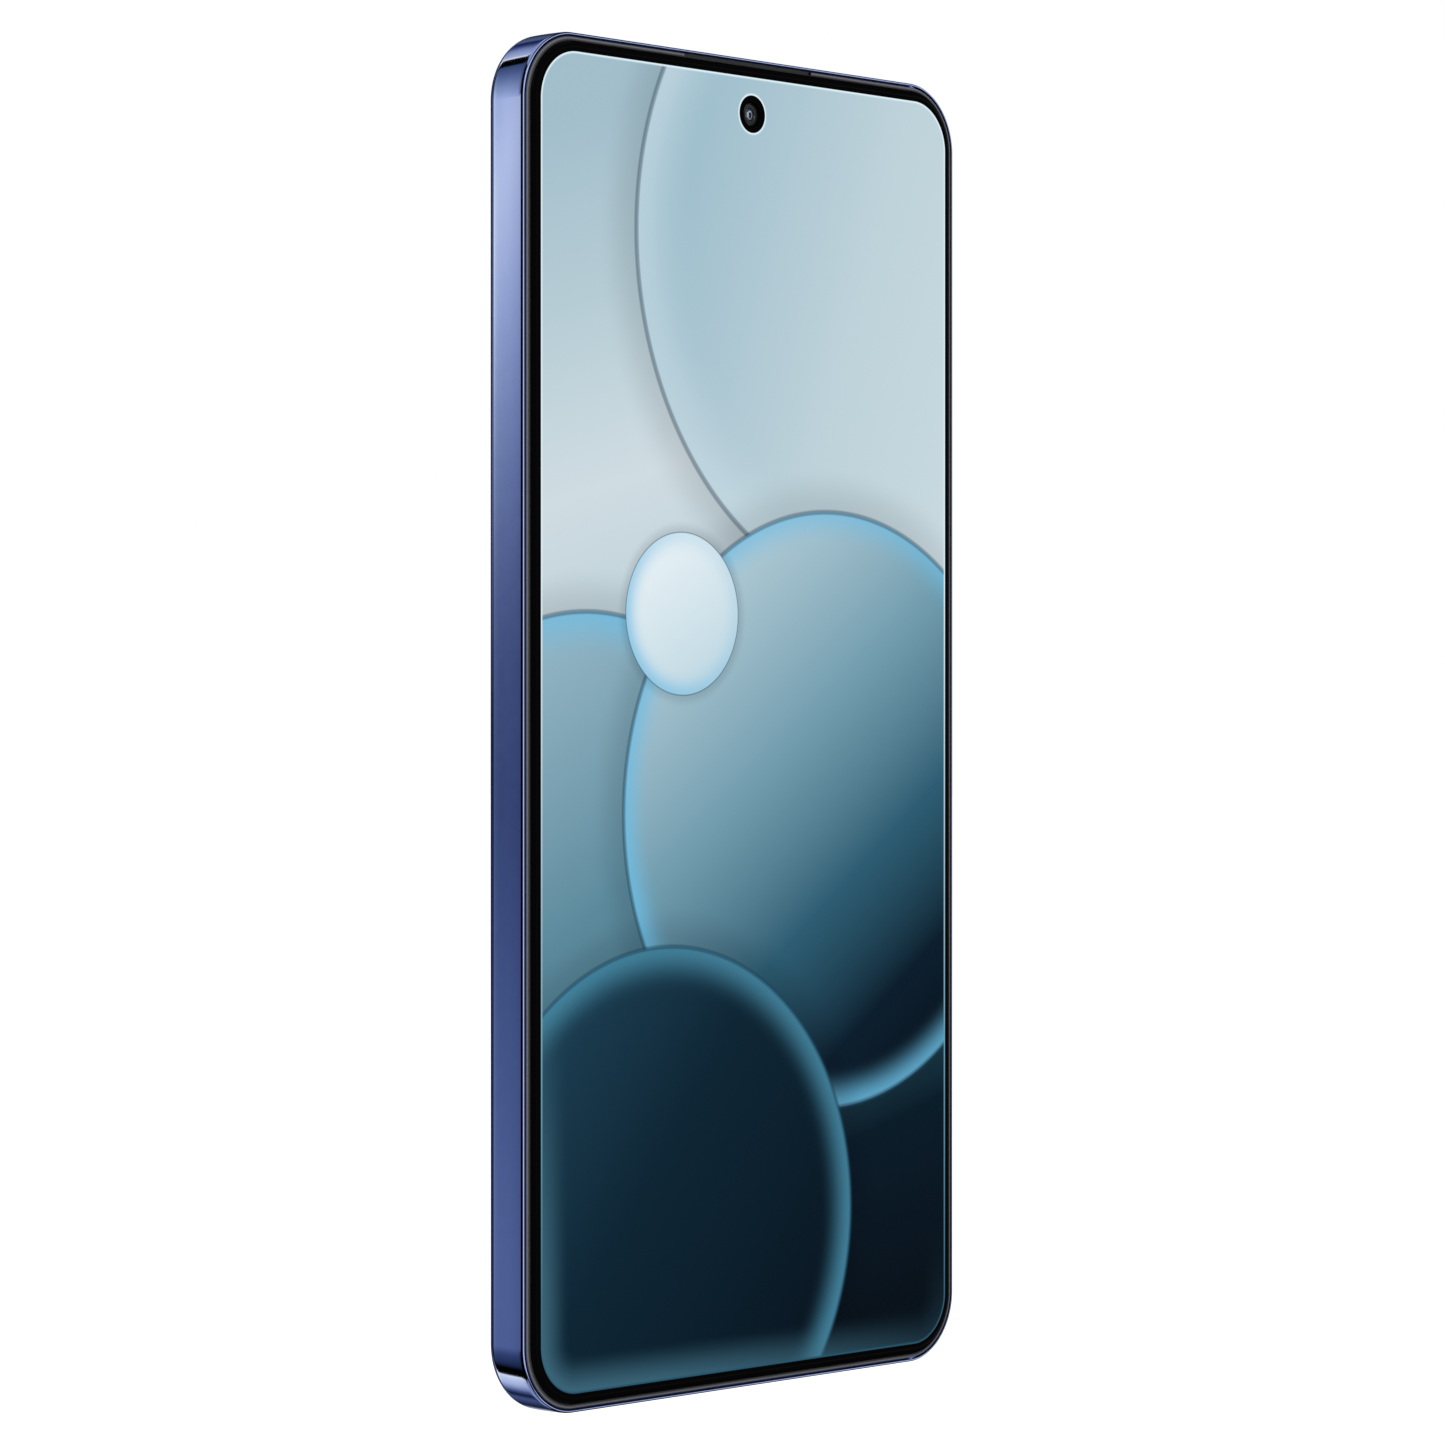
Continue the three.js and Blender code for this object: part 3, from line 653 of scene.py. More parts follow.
def lamp_lens():
    """Milky yellow-white cover of the flash, its phosphor showing in the middle."""
    made, nodes, shader = material("lamp_lens", IOR=1.5, Coat_Weight=0.8, Coat_Roughness=0.05)
    x, _, z = middle("flash_lens")
    colour = nodes.ramp(nodes.ease(nodes.away_from(x, z), 0.0, FLASH_RADIUS, smoothed=False), [
        (0.0, (0.80, 0.62, 0.16)), (0.38, (0.82, 0.68, 0.28)), (0.5, (0.78, 0.77, 0.70)),
        (1.0, (0.70, 0.70, 0.66)),
    ])
    nodes.put(shader.inputs["Base Color"], colour)
    grain = nodes.noise(nodes.position(), 5000)
    nodes.put(shader.inputs["Roughness"], nodes.grain_range(grain, 0.18, 0.28))
    return made


# ---- Openings in the frame ----------------------------------------------------------

CLEAR = 0.15
FLARE = 0.1
WALL = 2.2
EDGE_Y = middle("usb_receptacle")[1]
TOP = BODY["height"]
HALF = BODY["width"] / 2
SOUND_HOLES = {"count": 6, "pitch": 2.2, "first": 13.4, "width": 1.3}
MIC_WIDTH = 0.9
KEY_FLANGE = 0.8
TRAY_CAP = (13.0, 2.0)
SLIT = {"length": 22.4, "inset": (0.42, 0.98)}


def bottom_opening(name, x, length, width):
    """Cutter for an opening in the bottom edge, its mouth slightly flared."""
    profile = [(-FLARE, -0.5), (-FLARE, 0), (0, FLARE), (0, WALL + 0.4)]
    return capsule_up(name, x, EDGE_Y, profile, length, width)


def frame_openings():
    """Cutters for everything that passes through the side frame."""
    usb_x, _, _ = middle("usb_receptacle")
    usb_width, usb_depth, _ = extent("usb_receptacle")
    tray_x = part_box("sim_tray")[0].x / MM + TRAY_CAP[0] / 2
    cutters = [
        bottom_opening("usb_cut", usb_x, usb_width + 2 * CLEAR, usb_depth + 2 * CLEAR),
        bottom_opening("tray_cut", tray_x, TRAY_CAP[0] + 2 * CLEAR, TRAY_CAP[1] + 2 * CLEAR),
        bottom_opening("mic_cut", middle("bottom_microphone")[0], MIC_WIDTH, MIC_WIDTH),
    ]
    for i in range(SOUND_HOLES["count"]):
        x = SOUND_HOLES["first"] + i * SOUND_HOLES["pitch"]
        width = SOUND_HOLES["width"]
        cutters.append(bottom_opening(f"sound_cut_{i}", x, width, width))
    top_mic = [(0, TOP - WALL - 0.4), (0, TOP - FLARE), (-FLARE, TOP), (-FLARE, TOP + 0.5)]
    top_x = middle("top_microphone")[0]
    cutters.append(capsule_up("top_mic_cut", top_x, EDGE_Y, top_mic, MIC_WIDTH, MIC_WIDTH))
    for key in ("power_key", "volume_rocker"):
        _, y, z = middle(key)
        _, depth, height = extent(key)
        window = [(0, HALF - WALL - 0.3), (0, HALF - 0.06), (-0.06, HALF), (-0.06, HALF + 1)]
        length, width = height - 2 * KEY_FLANGE + 2 * CLEAR, depth - KEY_FLANGE + 2 * CLEAR
        cutters.append(capsule_across(key + "_cut", y, z, window, length, width))
    return cutters


# ---- Fine pieces --------------------------------------------------------------------

def side_frame():
    """Flat-sided frame, its lip rolled over at the glass and its back edge rounded."""
    flat_front, flat_back, crown, back_round = 0.97, 5.2, 0.03, 1.6
    half_flat = (flat_back - flat_front) / 2
    face = [(0.29, 0.645)] + bezier((0.29, 0.645), (0.18, 0.66), (0.09, 0.697), 6)
    lip = face + bezier((0.09, 0.697), (0.055, 0.80), (crown, flat_front), 8)
    flat = []
    for share in (-0.75, -0.5, -0.25, 0, 0.25, 0.5, 0.75, 1):
        flat.append((crown * share * share, flat_front + half_flat * (share + 1)))
    back = [(back_round + crown + s, y) for s, y in arc((0, flat_back), back_round, 180, 108, 12)][1:]
    inner = [(1.2, 6.4), (WALL, 6.4), (WALL, 1.25), (0.31, 1.25)]
    piece = loft("side_frame_fine", BODY, lip + flat + back + inner, closed=True)
    cut(piece, frame_openings())
    stands_for = ["side_frame", "frame_port_section"]
    return finish_piece(piece, LOOKS["frame_blue"], nodes=stands_for)


def bezel_ring():
    """Black surround between frame and glass, with the earpiece slit."""
    face = bezier((0.55, 0.66), (0.80, 0.56), (1.06, 0.42), 5)
    profile = [(0.5, 1.2), (0.5, 1.0), (0.53, 0.74), (0.55, 0.66)] + face
    profile += [(1.08, 0.46), (1.08, 0.74), (1.95, 0.74), (1.95, 1.2)]
    piece = loft("bezel_ring_fine", BODY, profile, closed=True)
    outer, inner = SLIT["inset"]
    reach = SLIT["length"] / 2
    cut(piece, [block("slit_cut", (-reach, 0, TOP - inner), (reach, 2, TOP - outer), 0.12)])
    return finish_piece(piece, LOOKS["ring_black"], nodes=["bezel_ring"], angle=40)


def cover_glass():
    """Screen glass with a rounded edge and the opening over the front camera."""
    curve = [(1.13, 0.4)] + bezier((1.13, 0.4), (1.35, 0.06), (1.95, 0.0), 12)
    piece = loft("cover_glass_fine", BODY, [(1.13, 0.6)] + curve)
    hole = turned("lens_cut", 0, LENS_HEIGHT, [(LENS_OPENING, -1), (LENS_OPENING, 1)])
    cut(piece, [hole])
    return finish_piece(piece, screen_glass(), nodes=["cover_glass"])


def front_camera():
    """Selfie camera: its module, a black stepped barrel and the domed lens."""
    module_front = 2.3
    (x0, _, z0), (x1, y1, z1) = corners("front_camera")
    module = block("front_camera_fine", (x0, module_front, z0), (x1, y1, z1), 0.15)
    barrel = turned("front_barrel", 0, LENS_HEIGHT, [
        (1.4, 2.6), (1.4, 0.46), (1.34, 0.40), (1.02, 0.40), (0.99, 0.34), (0.86, 0.33), (0.80, 0.40),
        (0.72, 0.62), (0.0, 0.62),
    ])
    combine(module, [barrel])
    finish_piece(module, LOOKS["barrel"], nodes=["front_camera"], angle=50)
    lens_radius = 0.70
    dome = [(lens_radius, 0.62)] + bezier((lens_radius, 0.56), (0.62, 0.37), (0.0, 0.36), 14)
    lens = turned("front_camera_lens", 0, LENS_HEIGHT, dome)
    # Coating tint rings, painted in base colour; the teal outer ring stands in for a reflected glint.
    inner, outer = (0.02, 0.02, 0.05), (0.02, 0.10, 0.13)
    glass = coated_lens("front_lens_coating", 0, LENS_HEIGHT, lens_radius, inner, outer)
    finish_piece(lens, glass, angle=60)


def rear_cover():
    """Back glass with a softly rounded edge, the island's window and the flash hole."""
    edge = [(1.25, 6.8)] + bezier((1.25, 6.8), (2.1, 7.28), (4.4, BACK_FACE), 12)
    piece = loft("rear_cover_fine", BODY, [(1.25, 6.55)] + edge)
    window = loft("window_cut", ISLAND, [(-0.1, 6), (-0.1, 8)])
    flash_x, _, flash_z = middle("flash_lens")
    hole = turned("flash_cut", flash_x, flash_z, [(2.4, 6), (2.4, 7.24), (2.46, 7.31), (2.46, 8)])
    cut(piece, [window, hole])
    return finish_piece(piece, LOOKS["rear_glass"], nodes=["rear_cover"])


def island_form():
    x, _, z = middle("camera_island")
    width, _, height = extent("camera_island")
    return {"x": x, "z": z, "width": width, "height": height, "radius": width / 2 - 0.05}


ISLAND = island_form()
CAMERA_OPENINGS = {"main": 2.7, "wide": 2.3, "tele": 2.0}
# Tint rings of each lens coating, painted into base colour in place of its coloured reflection: inner
# ring, then outer ring.
COATING_TINTS_AND_PAINTED_SHEEN = {
    "main": ((0.015, 0.03, 0.10), (0.05, 0.015, 0.09)),
    "wide": ((0.01, 0.06, 0.08), (0.02, 0.03, 0.11)),
    "tele": ((0.04, 0.02, 0.09), (0.01, 0.06, 0.05)),
}


def camera_island():
    """Raised pill of the rear cameras, one bore for each lens ring."""
    edge = [(0, 8.0)] + bezier((0, 8.0), (0.02, 8.48), (0.55, ISLAND_FACE), 10)
    piece = loft("camera_island_fine", ISLAND, [(0, 6.6)] + edge)
    bores = []
    for name in CAMERA_OPENINGS:
        x, _, z = middle("lens_ring_" + name)
        bores.append(turned(f"bore_{name}", x, z, [(6.4, 5), (6.4, 8.42), (6.5, 8.51), (6.5, 10)]))
    cut(piece, bores)
    return finish_piece(piece, LOOKS["frame_blue"], nodes=["camera_island"])


def camera_ring(name):
    """Polished trim ring round one rear lens."""
    x, _, z = middle("lens_ring_" + name)
    outer, inner = 6.3, 4.4
    rim = [(outer, 8.7)] + bezier((outer, 8.7), (outer, RING_FACE), (6.0, RING_FACE), 6)
    step = [(5.35, RING_FACE)] + bezier((5.35, RING_FACE), (5.0, 8.97), (4.9, 8.6), 6)
    profile = [(inner, 6.9), (outer, 6.9)] + rim + step + [(4.9, 8.2), (inner, 8.2)]
    piece = turned(f"lens_ring_{name}_fine", x, z, profile, steps=96, closed=True)
    finish_piece(piece, LOOKS["ring_metal"], nodes=["lens_ring_" + name])


def camera_window(name):
    """Black glass over one rear camera, stepping down to its coated lens."""
    x, _, z = middle("lens_cover_" + name)
    opening = CAMERA_OPENINGS[name]
    profile = [(4.8, 8.25), (4.8, 8.68), (4.73, 8.75)]
    profile += [(opening + 0.85, 8.75), (opening + 0.8, 8.66)]
    for i in range(3):
        radius = opening + 0.62 - 0.2 * i
        depth = 8.64 - 0.06 * i
        profile += [(radius, depth), (radius - 0.05, depth - 0.05)]
    profile += [(opening, 8.42), (0.0, 8.42)]
    piece = turned(f"lens_cover_{name}_fine", x, z, profile, steps=96)
    finish_piece(piece, LOOKS["lens_glass"], nodes=["lens_cover_" + name], angle=25)
    rim = opening - 0.03
    dome = [(rim, 8.43)] + bezier((rim, 8.45), (opening * 0.8, 8.66), (0, 8.67), 14)
    lens = turned(f"lens_element_{name}", x, z, dome, steps=96)
    coating = coated_lens(f"coating_{name}", x, z, opening, *COATING_TINTS_AND_PAINTED_SHEEN[name])
    finish_piece(lens, coating, angle=60)


def flash_lens():
    """Flash cover with fine concentric ridges."""
    x, _, z = middle("flash_lens")
    ridges = []
    for i in range(9):
        radius = 2.0 - 0.22 * i
        ridges += [(radius, 7.36), (radius - 0.11, 7.31)]
    profile = [(FLASH_RADIUS, 6.62), (FLASH_RADIUS, BACK_FACE), (2.24, 7.36)] + ridges + [(0, 7.34)]
    piece = turned("flash_lens_fine", x, z, profile)
    finish_piece(piece, lamp_lens(), nodes=["flash_lens"], angle=20)


def side_key(node):
    """Side key with a crowned face, on its flange inside the frame."""
    x_low, x_high = (corner.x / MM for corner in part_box(node))
    _, y, z = middle(node)
    _, depth, height = extent(node)
    length, width = height - 2 * KEY_FLANGE, depth - KEY_FLANGE
    brow = x_high - 0.22
    crown = [(0, brow)] + bezier((0, brow), (0.02, x_high - 0.01), (0.4, x_high), 8)
    piece = capsule_across(node + "_fine", y, z, [(0, x_low + 0.3)] + crown, length, width)
    flange = block(
        node + "_flange", (x_low, y - depth / 2, z - height / 2),
        (x_low + 0.5, y + depth / 2, z + height / 2), 0.1,
    )
    combine(piece, [flange])
    finish_piece(piece, LOOKS["frame_blue"], body=node, nodes=[node], angle=40)


def sim_tray():
    """Card tray: rounded cap with its eject hole, and the frame that holds the cards."""
    cap_length, cap_width = TRAY_CAP
    low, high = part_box("sim_tray")
    cap_x = low.x / MM + cap_length / 2
    tray_x, plate = cap_x - 0.55, 10.7
    end = high.z / MM
    face = [(0.18, 0.05)] + bezier((0.18, 0.05), (0.0, 0.06), (0.0, 0.22), 5)
    piece = capsule_up("sim_tray_fine", cap_x, EDGE_Y, face + [(0, 1.25)], cap_length, cap_width)
    tongue = block(
        "tray_tongue", (tray_x - plate / 2, EDGE_Y - 0.45, 1.0),
        (tray_x + plate / 2, EDGE_Y + 0.45, end), 0.12,
    )
    combine(piece, [tongue])
    window = block(
        "card_cut", (tray_x - 4.45, EDGE_Y - 2, 4.6), (tray_x + 4.45, EDGE_Y + 2, end - 1.5), 0.4,
    )
    eject = capsule_up("eject_cut", cap_x + 5.5, EDGE_Y, [(0, -1), (0, 2)], 0.84, 0.84)
    cut(piece, [window, eject])
    finish_piece(piece, LOOKS["frame_blue"], "sim_tray", ["sim_tray"], angle=40)


def usb_shell():
    """Drawn steel shell of the charging socket, with a rolled lip."""
    (x0, y0, low), (x1, y1, high) = corners("usb_receptacle")
    x, width, depth = (x0 + x1) / 2, x1 - x0, y1 - y0
    lip = [(0.12, low)] + bezier((0.12, low), (0.0, low), (0.0, low + 0.14), 5)
    shell = capsule_up("usb_receptacle_fine", x, EDGE_Y, lip + [(0, high)], width, depth)
    bore = [(0.18, low - 1), (0.18, low), (0.3, low + 0.12), (0.3, high - 1.2)]
    cut(shell, [capsule_up("mouth_cut", x, EDGE_Y, bore, width, depth)])
    finish_piece(shell, LOOKS["shell_steel"], nodes=["usb_receptacle"], angle=45)


CONTACTS = {"count": 12, "pitch": 0.5, "half_width": 0.13}


def usb_tongue():
    """Tongue of the charging socket, with contact strips on both faces."""
    low, high = corners("usb_tongue")
    tongue = block("usb_tongue_fine", low, high, 0.15)
    finish_piece(tongue, LOOKS["black_plastic"], nodes=["usb_tongue"], angle=40)
    (_, y_low, z_low), (_, y_high, z_high) = low, high
    faces = (y_low - 0.02, y_low + 0.06), (y_high - 0.06, y_high + 0.02)
    half_width = CONTACTS["half_width"]
    strips = []
    for i in range(CONTACTS["count"]):
        x = (i - (CONTACTS["count"] - 1) / 2) * CONTACTS["pitch"]
        for face, (y0, y1) in enumerate(faces):
            strips.append(block(
                f"contact_{i}_{face}", (x - half_width, y0, z_low + 0.5),
                (x + half_width, y1, z_high - 1.2), 0.02,
            ))
    combine(strips[0], strips[1:])
    strips[0].name = "usb_contacts"
    finish_piece(strips[0], LOOKS["gold"], angle=40)


def screw_heads():
    """Cross recess in the head of each cover screw."""
    for node in [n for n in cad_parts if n.startswith("screw_")]:
        x, _, z = middle(node)
        head = turned(node + "_fine", x, z, [
            (0.6, 3.4), (0.6, 6.02), (1.2, 6.02), (1.2, 6.26), (1.12, 6.34), (0, 6.34),
        ], steps=40)
        reach, half_width, recess = 0.7, 0.13, 6.16
        arms = []
        for arm, (a, b) in (("_a", (reach, half_width)), ("_b", (half_width, reach))):
            arms.append(block(node + arm, (x - a, recess, z - b), (x + a, 7, z + b), 0.02))
        cut(head, arms)
        finish_piece(head, LOOKS["steel"], nodes=[node])


# ---- Looks by slot, and the CAD nodes that stay ---------------------------------------

LOOKS = {
    "frame_blue": frame_metal(),
    "ring_black": ring_plastic(),
    "black_plastic": black_plastic(),
    "rear_glass": rear_glass(),
    "lens_glass": lens_glass(),
    "ring_metal": grained(
        "ring_metal", (0.40, 0.47, 0.70), (0.46, 0.53, 0.76), 0.2, (0.10, 0.18), 0.0001,
        Metallic=1.0,
    ),
    "barrel": grained(
        "lens_barrel", (0.006, 0.006, 0.007), (0.016, 0.016, 0.018), 0.05, (0.30, 0.42), 0.0006,
    ),
    "shell_steel": brushed("shell_steel", (0.42, 0.42, 0.44), (0.60, 0.60, 0.62), (0.22, 0.34)),
    "steel": brushed("brushed_steel", (0.45, 0.45, 0.46), (0.62, 0.62, 0.63), (0.28, 0.42)),
    "chassis": grained(
        "cast_chassis", (0.30, 0.31, 0.33), (0.44, 0.45, 0.47), 0.3, (0.42, 0.6), 0.004, Metallic=1.0,
    ),
    "gold": grained(
        "plated_contact", (0.70, 0.46, 0.17), (0.86, 0.62, 0.28), 0.1, (0.2, 0.32), 0.0005,
        Metallic=1.0,
    ),
    "adhesive": grained(
        "soft_rubber", (0.008, 0.008, 0.009), (0.02, 0.02, 0.021), 0.2, (0.7, 0.9), 0.01,
    ),
    "display": striped(
        "panel_cells", (0.01, 0.012, 0.016), (0.03, 0.04, 0.05), 9000, "X", (0.2, 0.3),
    ),
    "copper": wound_copper(),
    "circuit_board": printed_board(),
    "chip": grained(
        "moulded_chip", (0.012, 0.012, 0.013), (0.03, 0.03, 0.032), 0.08, (0.4, 0.6), 0.002,
    ),
    "flex": striped(
        "ribbon_tracks", (0.34, 0.13, 0.02), (0.56, 0.27, 0.06), 1400, "X", (0.3, 0.45),
    ),
    "cell": grained(
        "cell_wrap", (0.016, 0.017, 0.02), (0.035, 0.037, 0.042), 0.6, (0.3, 0.5), 0.01,
    ),
    "pad": grained("putty", (0.20, 0.23, 0.30), (0.28, 0.31, 0.38), 0.4, (0.75, 0.95), 0.02),
    "membrane": striped(
        "coned_film", (0.04, 0.036, 0.032), (0.09, 0.08, 0.07), 700, "Z", (0.4, 0.55),
    ),
}
SLOT_NODES = {
    "display": ["display_panel"],
    "adhesive": ["display_gasket", "rear_cover_adhesive", "sim_tray_gasket"],
    "chassis": ["chassis_plate"],
    "black_plastic": ["upper_bracket", "lower_bracket", "speaker_box", "antenna_cable"],
    "copper": ["charging_coil"],
    "circuit_board": ["main_board", "sub_board"],
    "chip": ["processor_chip", "main_camera_barrel", "wide_camera", "tele_camera"],
    "flex": ["battery_flex", "main_flex", "display_flex", "side_key_flex"],
    "cell": ["battery"],
    "pad": ["thermal_pad"],
    "membrane": ["speaker_diaphragm", "earpiece_diaphragm"],
}


def woven_mesh():
    """Fine acoustic cloth: two sets of crossing threads."""
    made, nodes, shader = material("acoustic_cloth", IOR=1.5)
    threads = []
    for direction in ("X", "Z"):
        waves = nodes.add("ShaderNodeTexWave", wave_type="BANDS", bands_direction=direction)
        nodes.put(waves.inputs["Vector"], nodes.position())
        waves.inputs["Scale"].default_value = 2600
        threads.append(waves.outputs["Fac"])
    weave = nodes.math("MAXIMUM", *threads)
    colour = nodes.ramp(weave, [(0.3, (0.002, 0.002, 0.002)), (0.9, (0.035, 0.035, 0.037))])
    nodes.put(shader.inputs["Base Color"], colour)
    nodes.put(shader.inputs["Roughness"], nodes.ease(weave, 0, 1, 0.8, 0.45))
    nodes.put(shader.inputs["Normal"], nodes.bump(weave, 0.00004))
    return made


def dress_cad_nodes():
    """Gives every CAD node that still shows the look of its slot."""
    cloth = woven_mesh()
    looks = {node: LOOKS[slot] for slot, members in SLOT_NODES.items() for node in members}
    looks.update({"speaker_mesh": cloth, "earpiece_mesh": cloth})
    for name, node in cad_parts.items():
        node.data.materials.clear()
        node.data.materials.append(looks.get(name, LOOKS["steel"]))


# ---- Room, light and camera -----------------------------------------------------------

# Angle in degrees, places in metres, lens and sensor in millimetres.
VIEW = {"angle": 46.95, "distance": 0.5657, "aside": -0.000275, "lens": 117.2, "sensor": 36}
FLOOR_RADIUS = 6.0
FLOOR_LEVEL = -0.022


def window_light(nodes, azimuth, elevation, box, soft):
    """One soft rectangular light seen in reflections: 1 inside a box of degrees, 0 outside."""
    sides = []
    for value, (low, high) in ((azimuth, box[0]), (elevation, box[1])):
        sides.append(nodes.ease(value, low - soft, low + soft))
        sides.append(nodes.ease(value, high + soft, high - soft))
    first = nodes.math("MULTIPLY", sides[0], sides[1])
    second = nodes.math("MULTIPLY", sides[2], sides[3])
    return nodes.math("MULTIPLY", first, second)


def stops_by_angle(stops):
    return [((angle + 180) / 360, colour) for angle, colour in stops]


# Colour of the lit arc behind the phone by its angle in degrees, and how it fades towards the back.
LIT_ARC = [
    (-130, (0.02, 0.03, 0.06)), (-110, (0.10, 0.14, 0.26)), (-99, (0.008, 0.012, 0.03)),
    (-91, (0.12, 0.16, 0.28)), (-76, (0.85, 0.86, 0.90)), (-63, (1.25, 1.22, 1.04)),
    (-60.5, (1.7, 1.6, 1.2)), (-58.5, (0, 0, 0)), (-46, (0, 0, 0)), (-38, (0.03, 0.05, 0.10)),
    (-24, (0.07, 0.10, 0.20)), (-9.5, (0.19, 0.24, 0.385)), (-4.5, (0.118, 0.162, 0.275)),
    (-1.5, (0.083, 0.113, 0.204)), (2, (0.132, 0.164, 0.27)), (5, (0.34, 0.39, 0.50)),
    (7.7, (0.72, 0.757, 0.82)), (9.7, (1.2, 1.18, 1.03)), (10.4, (0.80, 0.84, 0.90)),
    (24, (0.53, 0.59, 0.66)), (40, (0.29, 0.35, 0.455)), (54, (0.15, 0.19, 0.30)),
    (66, (0.08, 0.12, 0.20)), (67.5, (0, 0, 0)), (81.0, (0, 0, 0)), (81.8, (1.9, 1.8, 1.3)),
    (85, (0.78, 0.80, 0.82)), (99, (0.40, 0.44, 0.56)), (110, (0.07, 0.10, 0.24)),
    (119, (0.006, 0.01, 0.03)), (128, (0.13, 0.17, 0.28)), (150, (0.02, 0.03, 0.05)),
]
ARC_FADE = [
    (0.0, (0, 0, 0)), (0.38, (0, 0, 0)), (0.43, (0.74, 0.74, 0.78)), (0.50, (1.0, 1.0, 1.0)),
    (0.535, (1.0, 1.0, 1.0)), (0.555, (1.5, 1.45, 1.1)), (0.60, (1.5, 1.45, 1.1)),
    (0.65, (0.25, 0.28, 0.40)), (1.0, (0.16, 0.18, 0.25)),
]
# Soft boxes as azimuths, elevations, softness of their edges, all in degrees, and colour.
SOFT_BOXES = [
    ((9, 37), (-16, 22), 2.5, (0.95, 1.0, 1.12)),
    ((30, 80), (15, 25), 2.5, (0.95, 0.98, 1.05)),
    ((30, 80), (-25, -15), 2.5, (0.95, 0.98, 1.05)),
    ((58, 106), (-20, 20), 5.0, (0.52, 0.56, 0.65)),
    ((112, 165), (-24, -6), 5.0, (0.45, 0.48, 0.56)),
    ((-80, -40), (22, 60), 8.0, (3.2, 3.2, 3.3)),
    ((-80, -22), (-44, -13), 5.0, (0.40, 0.45, 0.58)),
    ((-200, 200), (-95, -50), 2.5, (0.42, 0.47, 0.58)),
    ((-200, 200), (50, 95), 2.5, (0.55, 0.60, 0.70)),
]
DEGREES = 180 / math.pi
DARK_ROOM = (0.012, 0.013, 0.016)


def lit_arc(nodes, x, y, z):
    """Light on a wall behind the phone, by direction."""
    level = nodes.math("ARCTAN2", z, nodes.math("MULTIPLY", x, -1))
    turn = nodes.math("MULTIPLY_ADD", level, DEGREES / 360, 0.5)
    along = nodes.ramp(turn, stops_by_angle(LIT_ARC))
    toward_back = nodes.math("MULTIPLY", nodes.math("ARCSINE", y), DEGREES)
    across = nodes.ramp(nodes.ease(toward_back, 0, 90, smoothed=False), ARC_FADE)
    return nodes.mix(1.0, along, across, blend="MULTIPLY")


def studio_colour(nodes):
    """What polished surfaces mirror: a lit arc behind the phone, and soft boxes before it."""
    x, y, z = nodes.split(nodes.add("ShaderNodeTexCoord").outputs["Generated"])
    behind = lit_arc(nodes, x, y, z)
    heading = nodes.math("ARCTAN2", x, nodes.math("MULTIPLY", y, -1))
    azimuth = nodes.math("MULTIPLY", heading, DEGREES)
    elevation = nodes.math("MULTIPLY", nodes.math("ARCSINE", z), DEGREES)
    total = nodes.mix(nodes.ease(y, -0.02, 0.02), DARK_ROOM, behind)
    for azimuths, elevations, soft, colour in SOFT_BOXES:
        shown = window_light(nodes, azimuth, elevation, (azimuths, elevations), soft)
        total = nodes.mix(shown, total, colour)
    return total


def studio_world():
    """White for the camera and for soft light, and the studio above in mirror reflections."""
    world = bpy.data.worlds.new("studio")
    bpy.context.scene.world = world
    world.use_nodes = True
    nodes = Nodes(world.node_tree)
    background = world.node_tree.nodes["Background"]
    rays = nodes.add("ShaderNodeLightPath")
    soft = nodes.mix(rays.outputs["Is Diffuse Ray"], (1, 1, 1), (1.05, 1.05, 1.05))
    seen = nodes.mix(rays.outputs["Is Glossy Ray"], soft, studio_colour(nodes))
    nodes.put(background.inputs[0], seen)


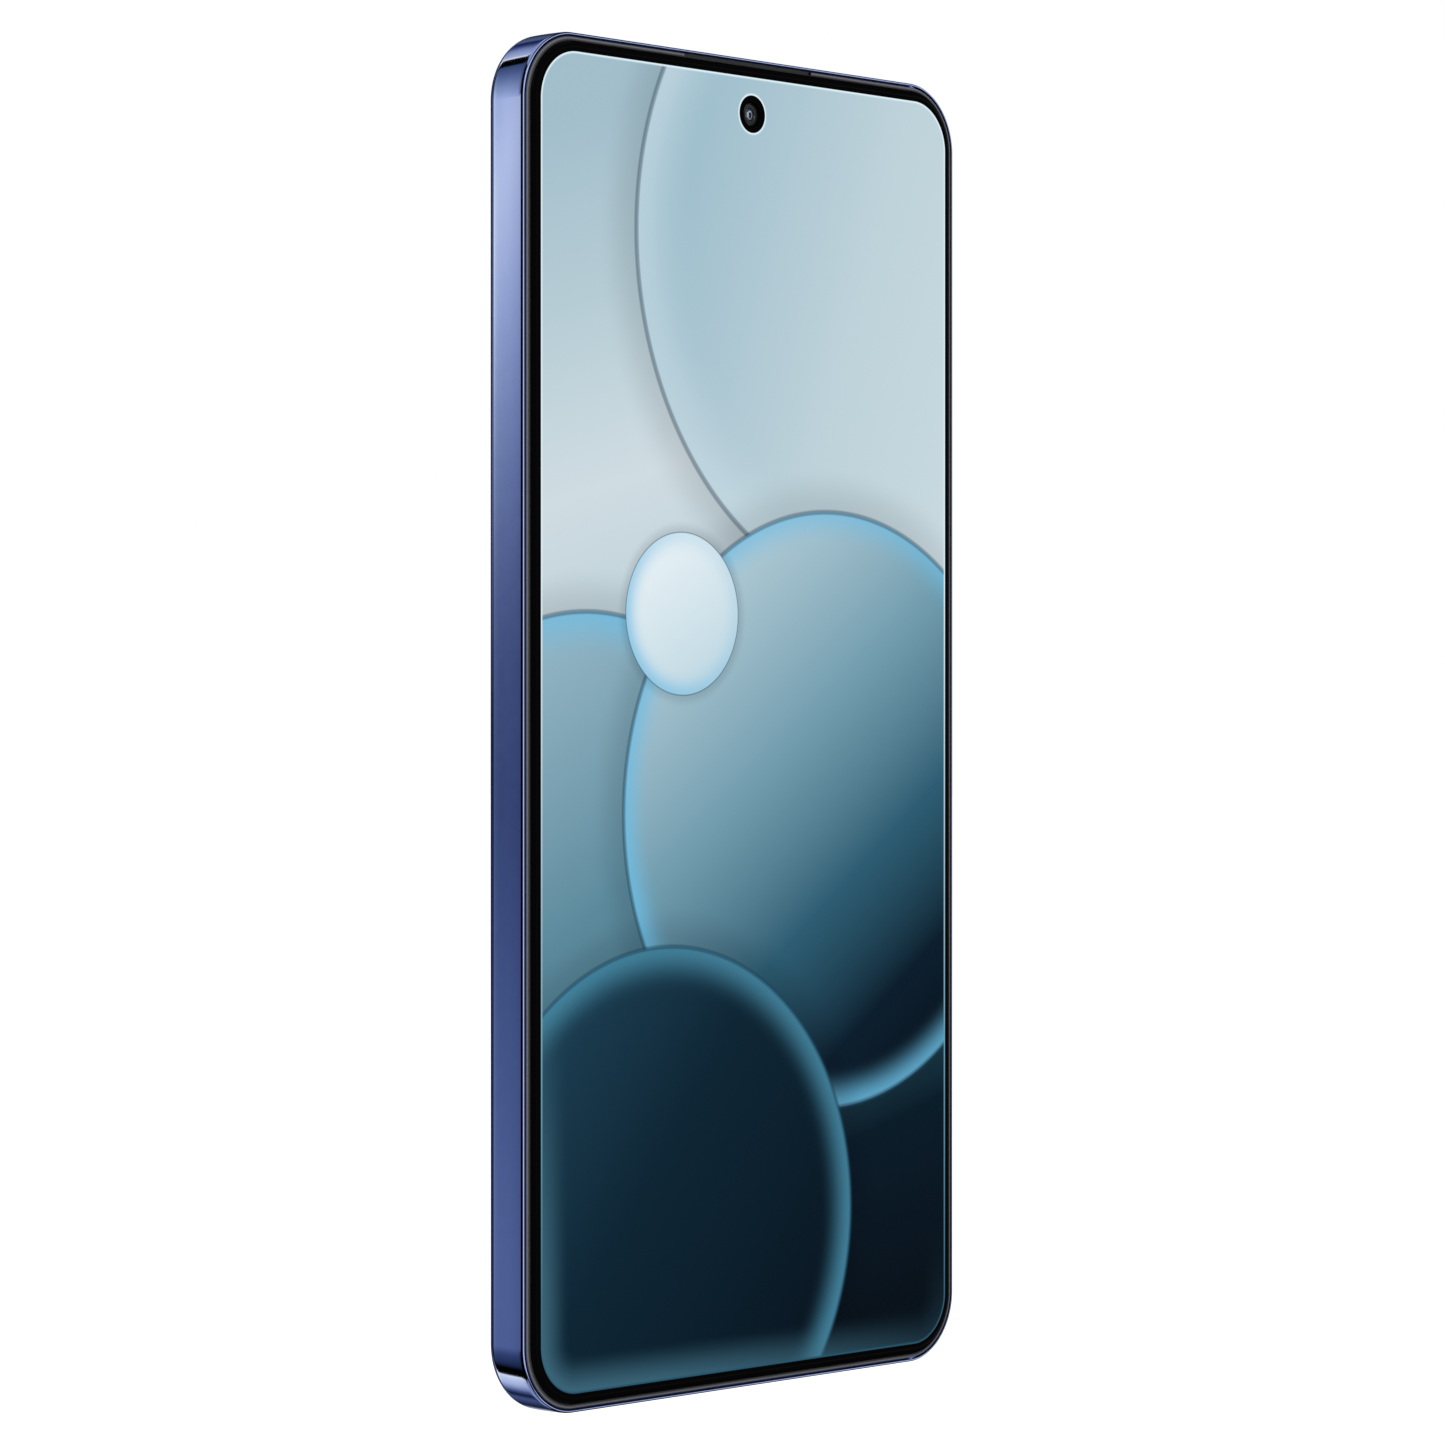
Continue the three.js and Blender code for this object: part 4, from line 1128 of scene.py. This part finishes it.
def studio_floor():
    bpy.ops.mesh.primitive_circle_add(
        vertices=96, radius=FLOOR_RADIUS, fill_type="NGON", location=(0, 0, FLOOR_LEVEL),
    )
    floor = bpy.context.object
    floor.name = "studio_floor"
    made, nodes, shader = material(
        "pale_floor", Specular_IOR_Level=0.0, Emission_Color=(1, 1, 1, 1), Emission_Strength=0.7,
    )
    grain = nodes.noise(nodes.position(), 30)
    nodes.put(shader.inputs["Base Color"], nodes.mix(grain, (0.33, 0.33, 0.33), (0.36, 0.36, 0.36)))
    nodes.put(shader.inputs["Roughness"], nodes.grain_range(grain, 0.9, 1.0))
    floor.data.materials.append(made)
    floor.visible_glossy = False


def soft_lamp(name, place_at, size, power):
    """Square area light aimed at the phone's middle, left out of mirror reflections."""
    data = bpy.data.lights.new(name, "AREA")
    data.size = size
    data.energy = power
    lamp = bpy.data.objects.new(name, data)
    bpy.context.scene.collection.objects.link(lamp)
    lamp.location = place_at
    lamp.rotation_euler = (CENTRE - Vector(place_at)).to_track_quat("-Z", "Y").to_euler()
    lamp.visible_glossy = False


def camera():
    data = bpy.data.cameras.new("camera")
    data.lens = VIEW["lens"]
    data.sensor_width = VIEW["sensor"]
    data.clip_start = 0.01
    data.clip_end = 50
    obj = bpy.data.objects.new("camera", data)
    bpy.context.scene.collection.objects.link(obj)
    angle = math.radians(VIEW["angle"])
    ahead = Vector((math.sin(angle), math.cos(angle), 0))
    aside = Vector((math.cos(angle), -math.sin(angle), 0))
    obj.location = CENTRE - ahead * VIEW["distance"] + aside * VIEW["aside"]
    obj.rotation_euler = ahead.to_track_quat("-Z", "Y").to_euler()
    bpy.context.scene.camera = obj


camera()
dress_cad_nodes()
side_frame()
bezel_ring()
cover_glass()
front_camera()
rear_cover()
camera_island()
for lens_name in CAMERA_OPENINGS:
    camera_ring(lens_name)
    camera_window(lens_name)
flash_lens()
side_key("power_key")
side_key("volume_rocker")
sim_tray()
usb_shell()
usb_tongue()
screw_heads()

studio_world()
studio_floor()
soft_lamp("key_lamp", (-0.9, -0.7, 0.9), 0.7, 9)
soft_lamp("fill_lamp", (0.8, -0.9, 0.6), 0.8, 5)
soft_lamp("rear_lamp", (0.3, 1.0, 0.8), 0.8, 6)
bpy.context.scene.view_settings.view_transform = "Standard"
